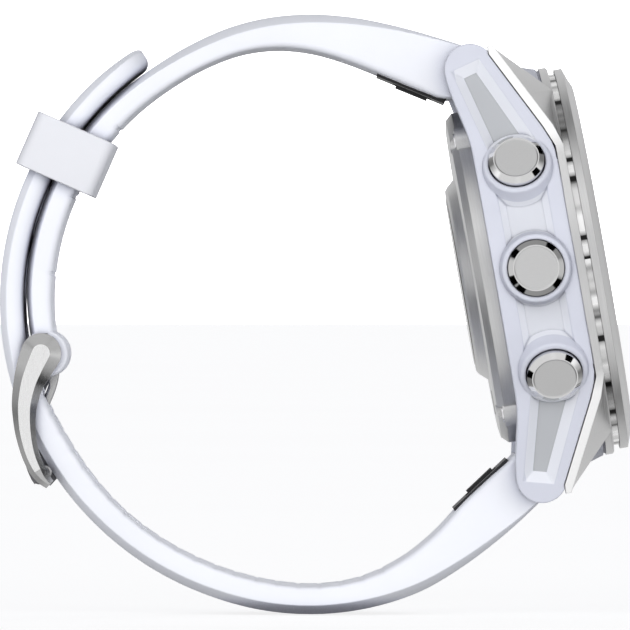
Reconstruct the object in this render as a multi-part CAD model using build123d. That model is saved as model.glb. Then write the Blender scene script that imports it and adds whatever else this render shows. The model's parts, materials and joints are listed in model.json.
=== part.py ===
"""GPS running watch: a round sports watch on a buckled silicone band, as separate named pieces.

Every piece is made in the watch frame, in millimetres: +X is the display's outward normal, +Z points to
12 o'clock, +Y to 3 o'clock, and the origin is the centre of the wrist space, on the display's own axis.
As the last step each piece is leaned back by LEAN about Y, the way the watch stands on show.
"""

from build123d import *
import math
import os

# ---------------------------------------------------------------- driving dimensions (mm, degrees)
LEAN = 10.0  # the display leans back by this much

# case, along X (rear to front)
X_SENSOR = 21.2  # skin side of the sensor window
X_BACK = 22.5  # rear face of the back plate
X_REAR = 24.7  # rear edge of the polymer case
X_FRONT = 33.4  # front face of the polymer case
X_BAND = 34.3  # front edge of the steel frame along the sides
X_GROOVE = 35.0  # rear face of the front bezel
X_FACE = 36.65  # front face of the front bezel
X_BUTTON = 29.1  # height of the button axes

# case, radii about X
R_BODY = 20.8  # polymer case
R_FRAME = 21.0  # steel frame
R_GROOVE = 20.15  # polished ring in the groove
R_BEZEL = 20.6  # front bezel
R_LENS = 16.85
R_CAVITY = 17.0
R_SEAT = 18.4  # wider front part of the cavity
R_BACK = 17.9
R_SENSOR = 9.7
R_BUMP = 11.0

# lugs
LUG_IN = 10.3  # half the gap between two lugs
LUG_OUT = 14.2  # outer face at the tip
LUG_TIP = (26.0, 22.0)  # centre of the round tip, (x, z)
R_TIP = 2.7
PIN_AT = (25.6, 22.2)  # lug bar axis, (x, z)
R_PIN = 1.0
RECESS_FLOOR = ((25.25, 21.35), (26.55, 21.7), (30.83, 12.4), (27.58, 12.4))  # (x, z)
RECESS_DEPTH = 1.0
RECESS_SLANT = 47.0  # of its walls, from square
POCKET_Z = 18.9  # floor of the gap between two lugs
POCKET_X = 28.6  # its front end

# buttons
BUTTON_ANGLE = 31.0
LEFT_BUTTONS = {"up": 0.0, "light": BUTTON_ANGLE, "down": -BUTTON_ANGLE}
RIGHT_BUTTONS = {"start": BUTTON_ANGLE, "lap": -BUTTON_ANGLE}
R_RIM = 22.0  # distance of a boss's rim from the X axis
CAP_R = 2.95
CAP_PROUD = 1.0
CAP_H = 2.1
WELL_R = 3.05
WELL_DEPTH = 2.2
BOSS_R = 4.05
STEM_R = 1.15
BUSH_IN = 1.25
BUSH_OUT = 1.95

# band
STRAP_HALF = 10.0  # half width at the lugs
STRAP_END_HALF = 8.8  # half width at the buckle
R_EYE = 2.75  # round ends between the lugs
ARC_AT = (4.4, 0.9)  # centre of the band's large arc on the buckle side, (x, z)
TONGUE_ANGLE = 193.1  # slot that the tongue is in
R_TAIL = 31.15  # centreline of the free end on that arc
BUCKLE_PIN = (-23.75, 0.1)
HOLE_L = 5.4
HOLE_W = 2.6
HOLE_PITCH = 7.8

OUT = "parts"


# ---------------------------------------------------------------- helpers
def revolved(points, angle=360.0, start=0.0):
    """A solid of revolution about X from (x, r) points; start is measured from +Y towards +Z."""
    face = make_face(Polyline(*points, close=True))
    turned = revolve(face, Axis.X, angle)
    return Rot(start, 0, 0) * turned


def tube_x(r_out, r_in, x0, x1):
    ring = Plane.YZ.offset(x0) * (Circle(r_out) - Circle(r_in) if r_in else Circle(r_out))
    return extrude(ring, x1 - x0)


def side(points, y0, y1):
    """A prism of a side view outline, (x, z) points, from y0 to y1."""
    face = Plane.XZ.offset(-y0) * make_face(Polyline(*points, close=True))
    return extrude(face, -(y1 - y0))


def side_face(face, y0, y1):
    return extrude(Plane.XZ.offset(-y0) * face, -(y1 - y0))


def block(x0, x1, y0, y1, z0, z1):
    return Pos((x0 + x1) / 2, (y0 + y1) / 2, (z0 + z1) / 2) * Box(x1 - x0, y1 - y0, z1 - z0)


def rod_y(x, z, r, y0, y1):
    return extrude(Plane.XZ.offset(-y0) * Pos(x, z) * Circle(r), -(y1 - y0))


def both_z(shape):
    """The shape and its mirror image across the 3-9 plane."""
    return shape + mirror(shape, Plane.XY)


def both_y(shape):
    return shape + mirror(shape, Plane.XZ)


def at_button(angle, right=False):
    """Frame of a button: its z axis runs outward along the button, its origin is on the X axis."""
    a = math.radians(angle)
    y = math.cos(a) * (1 if right else -1)
    return Plane(origin=(X_BUTTON, 0, 0), x_dir=(1, 0, 0), z_dir=(0, y, math.sin(a)))


def all_buttons():
    """(name, plane) for the five buttons."""
    left = [(name, at_button(angle)) for name, angle in LEFT_BUTTONS.items()]
    right = [(name, at_button(angle, right=True)) for name, angle in RIGHT_BUTTONS.items()]
    return left + right


def solids_of(*shapes):
    return Compound(children=[s for shape in shapes for s in shape.solids()])


def write(name, shape):
    placed = Rot(0, -LEAN, 0) * shape
    export_step(solids_of(placed), os.path.join(OUT, name + ".step"))


# ---------------------------------------------------------------- case outline
def tangent_point(radius):
    """Where the straight side of a lug leaves the round body, as positive (y, z)."""
    tip_y, tip_z = LUG_OUT, LUG_TIP[1] + R_TIP
    reach = math.hypot(tip_y, tip_z)
    angle = math.atan2(tip_z, tip_y) - math.acos(radius / reach)
    return radius * math.cos(angle), radius * math.sin(angle)


def side_y(z, radius=R_FRAME):
    """Half width of the straight side at height z."""
    y0, z0 = tangent_point(radius)
    return y0 + (LUG_OUT - y0) * (z - z0) / (LUG_TIP[1] + R_TIP - z0)


def plan_outline(radius):
    """Round body with four straight-sided lugs, seen from the front."""
    y0, z0 = tangent_point(radius)
    top = LUG_TIP[1] + R_TIP + 0.5
    lug = make_face(Polyline((y0, z0), (side_y(top, radius), top), (LUG_IN, top), (LUG_IN, z0), close=True))
    pair = lug + mirror(lug, Plane.YZ)
    return Circle(radius) + pair + mirror(pair, Plane.XZ)


# steel frame: lower edge, and the two upper edges of a lug shield, at height z
def shield_low(z):
    return min(28.25 + 0.5 * (23.2 - z), X_FRONT + 0.05)


def shield_outer(z):
    return min(29.0 + 0.505 * (23.7 - z), X_BAND)


def shield_inner(z):
    return min(52.8 - z, X_BAND)


def lug_shield():
    """Steel plate over the upper left lug, lofted through level sections; its top twists as it rises."""
    stations = (24.1, 23.2, 18.35, 14.6, 12.4, 11.0)
    inner_y = (LUG_IN, LUG_IN, LUG_IN, 12.6, 14.4, 15.6)
    pieces = []
    sections = []
    for z, y_in in zip(stations, inner_y):
        low = shield_low(min(z, 23.2))
        points = [
            (low, -side_y(z)),
            (max(shield_outer(z), low + 0.55), -side_y(z)),
            (max(shield_inner(z), low + 0.55), -y_in),
            (low, -y_in),
        ]
        wire = Polyline(*points, close=True)
        sections.append(Plane(origin=(0, 0, z), x_dir=(1, 0, 0), z_dir=(0, 0, 1)) * make_face(wire))
    for below, above in zip(sections, sections[1:]):
        pieces.append(loft([below, above], ruled=True))
    whole = pieces[0]
    for piece in pieces[1:]:
        whole = whole + piece
    return whole


def steel_shields():
    left = lug_shield()
    return both_y(both_z(left))


def make_bezel_frame():
    ring = revolved([(X_FRONT, 18.5), (X_FRONT, R_FRAME), (X_BAND - 0.15, R_FRAME), (X_BAND, R_FRAME - 0.15),
                     (X_BAND, 18.5)])
    band = extrude(Plane.YZ.offset(X_FRONT + 0.05) * (plan_outline(R_FRAME) - Circle(20.2)),
                   X_BAND - X_FRONT - 0.05)
    band = band & block(30, 40, -25, 25, -11.2, 11.2)
    frame = ring + band + steel_shields()
    frame = frame - tube_x(18.5, 0, 25, 40)
    frame = frame - tube_x(20.3, 0, X_BAND, 40)
    return frame


# ---------------------------------------------------------------- polymer case
def lug_profile():
    """Side view of the polymer's lugs, upper half, as a face."""
    cx, cz = LUG_TIP
    start = (cx - R_TIP, cz)
    end_angle = math.radians(26)
    end = (cx + R_TIP * math.cos(end_angle), cz + R_TIP * math.sin(end_angle))
    mid = (cx + R_TIP * math.cos(math.radians(105)), cz + R_TIP * math.sin(math.radians(105)))
    rear = Spline((X_REAR, 13.0), (24.25, 16.5), (23.5, 20.0), start)
    tip = ThreePointArc(start, mid, end)
    rest = Polyline(end, (32.2, 15.3), (33.0, 13.4), (X_FRONT, 11.6), (X_FRONT, 0), (X_REAR, 0),
                    (X_REAR, 13.0))
    return make_face(rear + tip + rest)


def side_channel():
    """Ring-shaped cutter of the channel that runs along both sides under the buttons."""
    floor, top = R_BODY - 0.8, R_BODY + 2.4
    slope = 1.3
    cutter = revolved([(27.2, floor), (30.95, floor), (30.95 + slope * 2.4, top), (27.2 - slope * 2.4, top)])
    keep_left = block(20, 40, -30, 0, -11.5, 11.5)
    keep_right = block(20, 40, 0, 30, -11.5, 11.5)
    return (cutter & keep_left) + (cutter & keep_right)


def lug_recess():
    """Cutter of the recess on the straight side of the upper left lug: flat floor, slanted rounded walls."""
    y0, z0 = tangent_point(R_BODY)
    slope = (side_y(24, R_BODY) - y0) / (24 - z0)
    wall = Plane(origin=(0, -y0, z0), x_dir=(1, 0, 0), z_dir=(0, -1, -slope))
    # the plane's own y axis runs along the wall; heights are stretched by the wall's slant
    stretch = math.hypot(1, slope) * (1 if wall.y_dir.Z > 0 else -1)
    outline = [(x, (z - z0) * stretch) for x, z in RECESS_FLOOR]
    floor = wall.offset(-RECESS_DEPTH) * make_face(Polyline(*outline, close=True))
    return extrude(floor, RECESS_DEPTH + 0.3, dir=wall.z_dir, taper=-RECESS_SLANT)


def button_boss(plane):
    boss = Solid.make_cone(BOSS_R + 0.35, BOSS_R - 0.45, R_RIM - 17.6,
                           plane=plane.offset(17.6))
    rim = [e for e in boss.edges().filter_by(GeomType.CIRCLE) if abs(e.radius - (BOSS_R - 0.45)) < 0.01]
    return fillet(rim, 0.3)


def make_case_body(frame):
    body = tube_x(R_BODY, 0, X_REAR, X_FRONT)
    skirt = revolved([(POCKET_X, 15), (POCKET_X, 20.9), (29.4, 21.5), (31.2, 21.6), (33.1, R_FRAME),
                      (33.1, 15)])
    body = body + (skirt & block(20, 40, -LUG_IN, LUG_IN, -30, 30))
    half = lug_profile()
    sides = both_z(side_face(half, -25, 25))
    outline = extrude(Plane.YZ.offset(22) * plan_outline(R_BODY), 14)
    outline = outline - block(20, 40, -LUG_IN, LUG_IN, 12, 30) - block(20, 40, -LUG_IN, LUG_IN, -30, -12)
    body = body + (outline & sides)
    body = body - side_channel()
    body = body - both_y(both_z(lug_recess()))
    for _, plane in all_buttons():
        body = body + button_boss(plane)
    body = body - tube_x(R_CAVITY, 0, 20, 31.0) - tube_x(R_SEAT, 0, 31.0, 40)
    pocket = block(20, POCKET_X, -LUG_IN, LUG_IN, POCKET_Z, 30)
    body = body - both_z(pocket)
    body = body - frame - (Pos(-0.12, 0, 0) * steel_shields())
    for _, plane in all_buttons():
        well = Solid.make_cylinder(WELL_R, 5, plane=plane.offset(R_RIM - WELL_DEPTH))
        bore = Solid.make_cylinder(BUSH_OUT, 8, plane=plane.offset(15))
        body = body - well - bore
    hole = rod_y(*PIN_AT, R_PIN + 0.03, -12.9, 12.9)
    body = body - both_z(hole)
    for y, z in screw_places():
        body = body - Pos(0, y, z) * tube_x(0.55, 0, X_REAR - 0.5, X_REAR + 3.2)
        body = body - Pos(0, y, z) * tube_x(1.65, 0, X_BACK, X_REAR + 0.02)
    return body - tube_x(R_BACK + 0.05, 0, 20, X_REAR)


# ---------------------------------------------------------------- back of the case
SCREW_R = 17.6
SCREW_ANGLE = 56.0


def screw_places():
    a = math.radians(SCREW_ANGLE)
    y, z = SCREW_R * math.cos(a), SCREW_R * math.sin(a)
    return [(-y, z), (y, z), (-y, -z), (y, -z)]


def make_back_plate():
    plate = revolved([(X_BACK, R_BUMP), (X_BACK, 16.2), (X_BACK + 0.15, 17.2), (X_BACK + 0.9, R_BACK),
                      (X_REAR, R_BACK), (X_REAR, 16.6), (25.3, 16.6), (25.3, 15.6), (23.6, 15.6), (23.6, 9.9),
                      (22.6, 9.9), (X_SENSOR + 0.35, R_SENSOR + 0.05), (X_SENSOR + 0.1, R_SENSOR + 0.1),
                      (X_SENSOR + 0.35, R_SENSOR + 0.45)])
    for y, z in screw_places():
        plate = plate + Pos(0, y, z) * tube_x(1.55, 0, X_BACK + 0.7, X_REAR)
    for y, z in screw_places():
        plate = plate - Pos(0, y, z) * tube_x(1.05, 0, X_BACK - 1, X_BACK + 1.5)
        plate = plate - Pos(0, y, z) * tube_x(0.6, 0, X_BACK, X_REAR + 1)
    return plate - charge_pocket()


def charge_pocket():
    return block(X_BACK - 1, 26, -3.7, 3.7, -14.7, -12.1)


def make_back_screws():
    screws = []
    for y, z in screw_places():
        head = Pos(0, y, z) * tube_x(0.98, 0, X_BACK + 0.55, X_BACK + 1.5)
        shank = Pos(0, y, z) * tube_x(0.52, 0, X_BACK + 1.5, X_REAR + 3.0)
        hexagon = Plane.YZ.offset(X_BACK + 0.5) * Pos(y, z) * RegularPolygon(0.5, 6)
        screws.append(head + shank - extrude(hexagon, 0.6))
    return solids_of(*screws)


def make_sensor_window():
    return revolved([(X_SENSOR, 0), (X_SENSOR, 9.0), (X_SENSOR + 0.35, 9.6), (22.4, 9.8), (22.4, 0)])



def make_sensor_housing():
    housing = tube_x(9.75, 0, 22.45, 23.55)
    for y, z in optic_places():
        housing = housing - block(22.4, 23.2, y - 0.9, y + 0.9, z - 0.9, z + 0.9)
    return housing


def optic_places():
    """Centres of the light sources and detectors behind the window: two beside, four above and below."""
    return [(3.4, 0), (-3.4, 0)] + [(2.4 * sy, 4.4 * sz) for sy in (-1, 1) for sz in (-1, 1)]


def make_sensor_optics():
    half = 0.75
    return solids_of(*[block(22.55, 23.15, y - half, y + half, z - half, z + half)
                       for y, z in optic_places()])


def make_charge_socket():
    socket = block(X_BACK + 0.55, 25.8, -3.6, 3.6, -14.6, -12.2)
    for y in charge_rows():
        socket = socket - Pos(0, y, -13.4) * tube_x(0.5, 0, X_BACK, 26)
    return socket


def charge_rows():
    return [-2.25, -0.75, 0.75, 2.25]


def make_charge_contacts():
    return solids_of(*[Pos(0, y, -13.4) * tube_x(0.45, 0, X_BACK + 0.4, 25.9) for y in charge_rows()])


# ---------------------------------------------------------------- inside the case
BOARD_X = 30.2
BOARD_T = 0.6
# chips on the board: centre y, centre z, width, height
CHIPS = ((-5.5, 4.0, 5.2, 5.2), (3.5, 5.5, 4.0, 4.0), (5.0, -4.5, 6.0, 4.0), (-5.0, -5.5, 3.2, 4.4),
         (0.0, 0.2, 2.6, 2.6))
MOTOR_AT = (27.3, 12.6)
MOTOR_R = 1.9


def make_battery():
    cell = Plane.YZ.offset(25.6) * RectangleRounded(18.0, 19.0, 3.0)
    body = extrude(cell, 3.9)
    return fillet(body.edges().filter_by(GeomType.LINE).filter_by(Axis.X, reverse=True), 0.4)


def make_main_board():
    board = tube_x(15.3, 0, BOARD_X, BOARD_X + BOARD_T)
    for angle in (45, 135, 225, 315):
        board = board - Rot(angle, 0, 0) * Pos(0, 14.4, 0) * tube_x(0.7, 0, BOARD_X - 1, BOARD_X + 2)
    notch = block(BOARD_X - 1, BOARD_X + 2, -1.8, 1.8, 13.6, 17.0)
    return board - notch - mirror(notch, Plane.XY)


def make_board_chips():
    chips = []
    for y, z, w, h in CHIPS:
        chips.append(block(BOARD_X - 0.65, BOARD_X, y - w / 2, y + w / 2, z - h / 2, z + h / 2))
    return solids_of(*chips)


def make_mid_frame():
    plate = revolved([(31.05, 13.5), (31.05, 18.2), (31.9, 18.2), (31.9, 17.2), (33.4, 17.2), (33.4, 16.6),
                      (31.6, 16.6), (31.6, 13.5)])
    return plate


def make_gps_antenna():
    ring = tube_x(18.2, 17.35, 32.0, 33.2)
    return ring - block(31, 34, -1.2, 1.2, 10, 20)


def make_motor_can():
    x, z = MOTOR_AT
    return rod_y(x, z, MOTOR_R, -5.2, 2.6) - rod_y(x, z, 0.42, 1.0, 3.0)


def make_motor_rotor():
    x, z = MOTOR_AT
    shaft = rod_y(x, z, 0.36, 1.1, 5.6)
    weight = rod_y(x, z, MOTOR_R - 0.1, 3.0, 5.4) & block(x - 3, x + 3, 0, 9, z - 3, z + 0.35)
    return shaft + weight


def make_display_panel():
    return tube_x(16.4, 0, 32.3, 33.5)


def make_display_glass():
    return tube_x(16.2, 0, 33.55, 34.05)


def make_chapter_ring():
    return revolved([(34.15, 15.0), (34.15, 16.75), (34.85, 16.75), (34.85, 15.6)])


def make_front_bezel():
    return revolved([(33.5, 16.95), (33.5, 18.3), (X_GROOVE, 18.3), (X_GROOVE, R_BEZEL), (35.85, R_BEZEL),
                     (36.34, 19.25), (X_FACE, 18.6), (X_FACE, 17.7), (36.3, 16.95)])


def make_lens():
    return revolved([(34.95, 0), (34.95, R_LENS), (36.1, R_LENS), (36.3, R_LENS - 0.25), (36.3, 0)])


def make_groove_ring():
    return tube_x(R_GROOVE, 18.6, X_BAND + 0.03, X_GROOVE - 0.03)


# ---------------------------------------------------------------- buttons
STEM_END = 15.95
CAP_TOP = R_RIM + CAP_PROUD
CAP_FLOOR = CAP_TOP - CAP_H
WELL_FLOOR = R_RIM - WELL_DEPTH
SEAL_AT = 18.0


def turned_on(plane, points):
    """A solid of revolution about a button's own axis from (radius, distance out) points."""
    face = Plane.XZ * make_face(Polyline(*points, close=True))
    return plane * revolve(face, Axis.Z)


def make_button_cap(plane):
    bevel = 0.42
    points = [(0, STEM_END), (STEM_R - 0.15, STEM_END), (STEM_R - 0.15, 16.1), (0.8, 16.1), (0.8, 16.45),
              (STEM_R, 16.45), (STEM_R, SEAL_AT), (0.85, SEAL_AT), (0.85, SEAL_AT + 0.45),
              (STEM_R, SEAL_AT + 0.45),
              (STEM_R, CAP_FLOOR), (CAP_R, CAP_FLOOR), (CAP_R, CAP_TOP - bevel), (CAP_R - 0.5, CAP_TOP),
              (CAP_R - 0.62, CAP_TOP), (CAP_R - 0.75, CAP_TOP - 0.07), (0, CAP_TOP - 0.07)]
    return turned_on(plane, points)


def make_button_clip(plane):
    ring = turned_on(plane, [(0.85, 16.15), (1.75, 16.15), (1.75, 16.4), (0.85, 16.4)])
    slot = plane * (Pos(0, -1.5, 16.3) * Box(1.2, 3.0, 1.0))
    return ring - slot


def make_button_seal(plane):
    face = Plane.XZ * Pos(1.03, SEAL_AT + 0.225) * Ellipse(0.16, 0.2)
    return plane * revolve(face, Axis.Z)


def make_button_spring(plane):
    wire = 0.13
    height = CAP_FLOOR - WELL_FLOOR - 2 * wire - 0.1
    path = Helix(pitch=height / 2.5, height=height, radius=2.45)
    start = Plane(origin=path @ 0, z_dir=path % 0)
    coil = sweep(start * Circle(wire), path=path, is_frenet=True)
    return plane * Pos(0, 0, WELL_FLOOR + wire + 0.05) * coil


def make_bushings():
    rings = []
    for _, plane in all_buttons():
        rings.append(turned_on(plane, [(BUSH_IN, 16.65), (BUSH_OUT - 0.02, 16.65),
                                       (BUSH_OUT - 0.02, WELL_FLOOR - 0.1), (BUSH_IN, WELL_FLOOR - 0.1)]))
    return solids_of(*rings)


def make_switches():
    parts = []
    for _, plane in all_buttons():
        body = plane * (Pos(-0.1, 0, 14.2) * Box(2.3, 3.2, 1.6))
        plunger = Solid.make_cylinder(0.6, 0.3, plane=plane.offset(15.0))
        parts.append(body + plunger)
    return solids_of(*parts)


# ---------------------------------------------------------------- band
def on_arc(radius, degrees):
    """A point of the band's large arc; 180 degrees is straight to the rear, 90 is up."""
    a = math.radians(degrees)
    return ARC_AT[0] + radius * math.cos(a), ARC_AT[1] + radius * math.sin(a)


BOSS_OUT = 29.25
BEVEL = 0.9
TIP_ANGLE = 113.0  # where the free end stops


# stations of a band half: (angle on the large arc, inner radius, outer radius, half width)
UPPER_STATIONS = (
    (43.6, 26.75, 32.1, 10.0), (46, 25.95, 32.2, 10.0), (54, 25.42, 31.4, 10.0), (62, 25.45, 30.9, 9.95),
    (70, 25.9, 30.7, 9.8),
    (78, 26.55, 30.6, 9.6), (86, 27.05, 30.5, 9.35), (94, 27.25, 30.3, 9.1), (103, 27.1, 29.95, 8.85),
    (112, 26.9, 29.7, 8.8), (124, 26.85, 29.68, 8.8), (138, 26.85, 29.7, 8.8), (152, 26.85, 29.7, 8.8),
    (167, 26.85, 29.68, 8.8), (181.6, 26.85, 29.4, 8.8),
)
LOWER_STATIONS = (
    (-46, 27.85, 33.3, 10.0), (-54, 27.37, 33.0, 10.0), (-62, 27.47, 32.95, 9.95), (-70, 28.4, 33.15, 9.85),
    (-78, 29.4, 33.5, 9.7), (-88, 30.3, 33.6, 9.5), (-98, 30.5, 33.55, 9.3), (-108, 30.25, 33.4, 9.1),
    (-118, 30.0, 33.15, 8.95), (-129, 29.8, 32.95, 8.85), (-140, 29.65, 32.75, 8.8), (-150, 29.45, 32.6, 8.8),
    (-160, 29.35, 32.5, 8.8), (-170, 29.55, 32.5, 8.8), (-180, 29.85, 32.5, 8.8), (-194, 29.9, 32.5, 8.8),
    (-208, 29.9, 32.5, 8.8), (-222, 29.9, 32.5, 8.8), (-236, 29.9, 32.45, 8.8), (-247.0, 29.95, 32.35, 8.8),
)


def band(stations):
    """Lofts a band half through its stations; each section has its two outer corners bevelled."""
    sections = []
    for angle, r_in, r_out, half in stations:
        x, z = on_arc(r_in, angle)
        a = math.radians(angle)
        plane = Plane(origin=(x, 0, z), x_dir=(0, 1, 0), z_dir=(-math.sin(a), 0, math.cos(a)))
        thick = r_out - r_in
        outward = 1 if plane.y_dir.dot(Vector(math.cos(a), 0, math.sin(a))) > 0 else -1
        low, high, top = 0.3 * outward, (thick - BEVEL) * outward, thick * outward
        outline = [(-half + 0.3, 0), (half - 0.3, 0), (half, low), (half, high), (half - BEVEL, top),
                   (BEVEL - half, top), (-half, high), (-half, low)]
        sections.append(plane * make_face(Polyline(*outline, close=True)))
    return loft(sections)


def lug_eye(sign):
    """Round end of a band half, between two lugs."""
    x, z = PIN_AT
    return rod_y(x, z * sign, R_EYE, -STRAP_HALF, STRAP_HALF)


def pin_boss():
    boss = Plane.XZ * Pos(*BUCKLE_PIN) * Circle(2.5)
    room = Plane.XZ * Pos(*ARC_AT) * Circle(BOSS_OUT)
    return boss & room


def make_upper_strap():
    strap = band(UPPER_STATIONS) + lug_eye(1)
    strap = strap + extrude(pin_boss(), STRAP_END_HALF, both=True)
    strap = strap - rod_y(*BUCKLE_PIN, PIN_R, -12, 12)
    strap = strap - rod_y(*BUCKLE_PIN, 3.2, -1.7, 1.7)
    strap = strap - rod_y(*PIN_AT, R_PIN + 0.05, -12, 12)
    return strap - latch_seat(1)


def strap_hole(x, z, direction):
    """Cutter of one adjustment slot; direction is the band's own direction there, in degrees."""
    slot = SlotOverall(HOLE_L, HOLE_W)
    place = Pos(x, 0, z) * Rot(0, -direction, 0)
    return place * extrude(slot, 5, both=True)


def hole_places():
    """Slots on the free end's arc, then the one the tongue is in and two below it."""
    places = []
    pitch = math.degrees(HOLE_PITCH / R_TAIL)
    for i in range(4):
        angle = 180.0 - i * pitch
        x, z = on_arc(R_TAIL, angle)
        places.append((x, z, angle - 90))
    for i in range(3):
        angle = TONGUE_ANGLE + i * pitch
        x, z = on_arc(R_TAIL, angle)
        places.append((x, z, angle - 90))
    return places


def make_lower_strap():
    strap = round_tip(band(LOWER_STATIONS)) + lug_eye(-1)
    for x, z, direction in hole_places():
        strap = strap - strap_hole(x, z, direction)
    strap = strap - rod_y(PIN_AT[0], -PIN_AT[1], R_PIN + 0.05, -12, 12)
    return strap - latch_seat(-1)


def round_tip(strap):
    """Rounds the free end's corners in its own flat view."""
    angle = 118.0
    reach = math.radians(angle - TIP_ANGLE) * R_TAIL
    outline = Pos(reach - 15, 0) * RectangleRounded(30, 2 * STRAP_END_HALF + 0.05, 5.0)
    plan = Pos(1, 0) * Rectangle(14, 24) - outline
    x, z = on_arc(R_TAIL, angle)
    return strap - Pos(x, 0, z) * Rot(0, 90 - angle, 0) * extrude(plan, 5, both=True)


# ---------------------------------------------------------------- lug bars and quick-release latches
# ends of each latch strip on the band's inner face, (x, z): at the lug, and along the band
LATCH_ENDS = {1: ((22.9, 19.15), (16.3, 23.3)), -1: ((22.9, -19.6), (16.3, -23.95))}
LATCH_SINK = 0.05
LATCH_L = math.dist(*LATCH_ENDS[1])


def latch_frame(sign):
    """Origin at the middle of the latch strip, local X along the band, local Z into the strap."""
    (x0, z0), (x1, z1) = LATCH_ENDS[sign]
    slant = math.degrees(math.atan2((z1 - z0) * sign, x0 - x1))
    place = Pos((x0 + x1) / 2, 0, (z0 + z1) / 2) * Rot(0, slant * sign, 0)
    if sign < 0:
        place = place * Rot(180, 0, 0)
    return place * Pos(0, 0, LATCH_SINK)


def latch_seat(sign):
    return latch_frame(sign) * Pos(0, 0, 0.0) * Box(LATCH_L + 0.1, 12.1, 1.5)


def make_latch_plate(sign):
    plate = Pos(0, 0, 0.2) * Box(LATCH_L, 12.0, 0.9)
    rail = Pos(0.2, 0, 0.0) * Box(4.4, 5.4, 1.0)
    return latch_frame(sign) * (plate - rail)


def make_latch_slider(sign):
    knob = Pos(0.2, -0.35, -0.35) * Box(3.6, 3.8, 0.5)
    foot = Pos(0.2, -0.35, 0.12) * Box(4.2, 3.8, 0.56)
    slider = knob + foot
    for i in range(4):
        slider = slider - Pos(0.2, -1.6 + i * 0.85, -0.55) * Box(5, 0.3, 0.3)
    return latch_frame(sign) * slider


def make_latch_spring(sign):
    path = Helix(pitch=0.55, height=0.72, radius=0.26)
    coil = sweep(Plane(origin=path @ 0, z_dir=path % 0) * Circle(0.06), path=path, is_frenet=True)
    return latch_frame(sign) * Pos(0.2, 1.65, 0.12) * Rot(-90, 0, 0) * coil


def make_lug_bar(sign):
    x, z = PIN_AT
    return rod_y(x, z * sign, R_PIN, -11.6, 11.6) + rod_y(x, z * sign, 0.7, -12.7, 12.7)


# ---------------------------------------------------------------- buckle
ARM_IN = STRAP_END_HALF + 0.35
ARM_OUT = ARM_IN + 1.75
ARM_BEVEL = 0.6
BAR_AT = (-26.55, -12.55)
BAR_R = 0.85
RING_AT = (-24.3, 0.15)
RING_R = 2.25
PIN_R = 0.8
TONGUE_HALF = 1.0
PIN_END = ARM_OUT - 0.75


def arm_outline():
    """Side view of one buckle arm: a ring about the pin and a curved bar down to the crossbar."""
    left = ThreePointArc((-26.25, 1.1), (-28.25, -6.25), (-26.15, -13.95))
    foot = Line((-26.15, -13.95), (-25.1, -13.35))
    right = ThreePointArc((-25.1, -13.35), (-26.05, -8.6), (-24.3, -3.5))
    neck = Line((-24.3, -3.5), (-22.7, -1.5))
    back = Line((-22.7, -1.5), (-26.25, 1.1))
    return make_face(left + foot + right + neck + back) + Pos(*RING_AT) * Circle(RING_R)


def make_buckle_frame():
    arm = extrude(Plane.XZ.offset(ARM_IN) * arm_outline(), ARM_OUT - ARM_IN)
    rim = [e for e in arm.edges() if abs((e @ 0.5).Y + ARM_OUT) < 0.01]
    arm = chamfer(rim, ARM_BEVEL)
    bar = rod_y(*BAR_AT, BAR_R, -ARM_IN - 0.5, ARM_IN + 0.5)
    frame = both_y(arm) + bar
    frame = frame - rod_y(*BUCKLE_PIN, PIN_R + 0.06, -PIN_END - 0.06, PIN_END + 0.06)
    rest = block(-29, BAR_AT[0] + 0.2, -TONGUE_HALF - 0.5, TONGUE_HALF + 0.5, BAR_AT[1] - 2, BAR_AT[1] + 2)
    return frame - rest


def make_buckle_pin():
    return rod_y(*BUCKLE_PIN, PIN_R, -PIN_END, PIN_END)


def make_buckle_tongue():
    path = Spline((-23.0, -0.9, 0), (-24.6, -4.9, 0), (-26.85, -8.2, 0), (-27.05, -13.3, 0))
    path = Plane.XZ * path
    start = Plane(origin=path @ 0, x_dir=(0, 1, 0), z_dir=path % 0)
    bar = sweep(start * RectangleRounded(2 * TONGUE_HALF, 0.9, 0.3), path=path)
    web = side([(-23.2, -0.9), (-22.75, -1.6), (-23.2, -2.9), (-24.05, -4.2), (-23.95, -3.2), (-23.85, -1.3)],
               -TONGUE_HALF, TONGUE_HALF)
    ring = rod_y(*BUCKLE_PIN, 1.6, -1.3, 1.3)
    return ring + bar + web - rod_y(*BUCKLE_PIN, PIN_R + 0.08, -3, 3)


# ---------------------------------------------------------------- keeper
KEEPER_AT = (-17.86, 20.65)
KEEPER_DIRECTION = 56.3
KEEPER_LENGTH = 6.1
KEEPER_DEPTH = 9.0
KEEPER_WALL = 1.04
KEEPER_SHIFT = 0.22
KEEPER_SIDE = 1.35
KEEPER_HALF = STRAP_END_HALF + 0.35


def make_keeper():
    outer = Rectangle(KEEPER_DEPTH, 2 * (KEEPER_HALF + KEEPER_SIDE))
    inner = Pos(KEEPER_SHIFT, 0) * Rectangle(KEEPER_DEPTH - 2 * KEEPER_WALL, 2 * KEEPER_HALF)
    section = fillet(outer.vertices(), 1.2) - fillet(inner.vertices(), 0.25)
    loop = extrude(section, KEEPER_LENGTH / 2, both=True)
    x, z = KEEPER_AT
    return Pos(x, 0, z) * Rot(0, 90 - KEEPER_DIRECTION, 0) * loop


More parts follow.
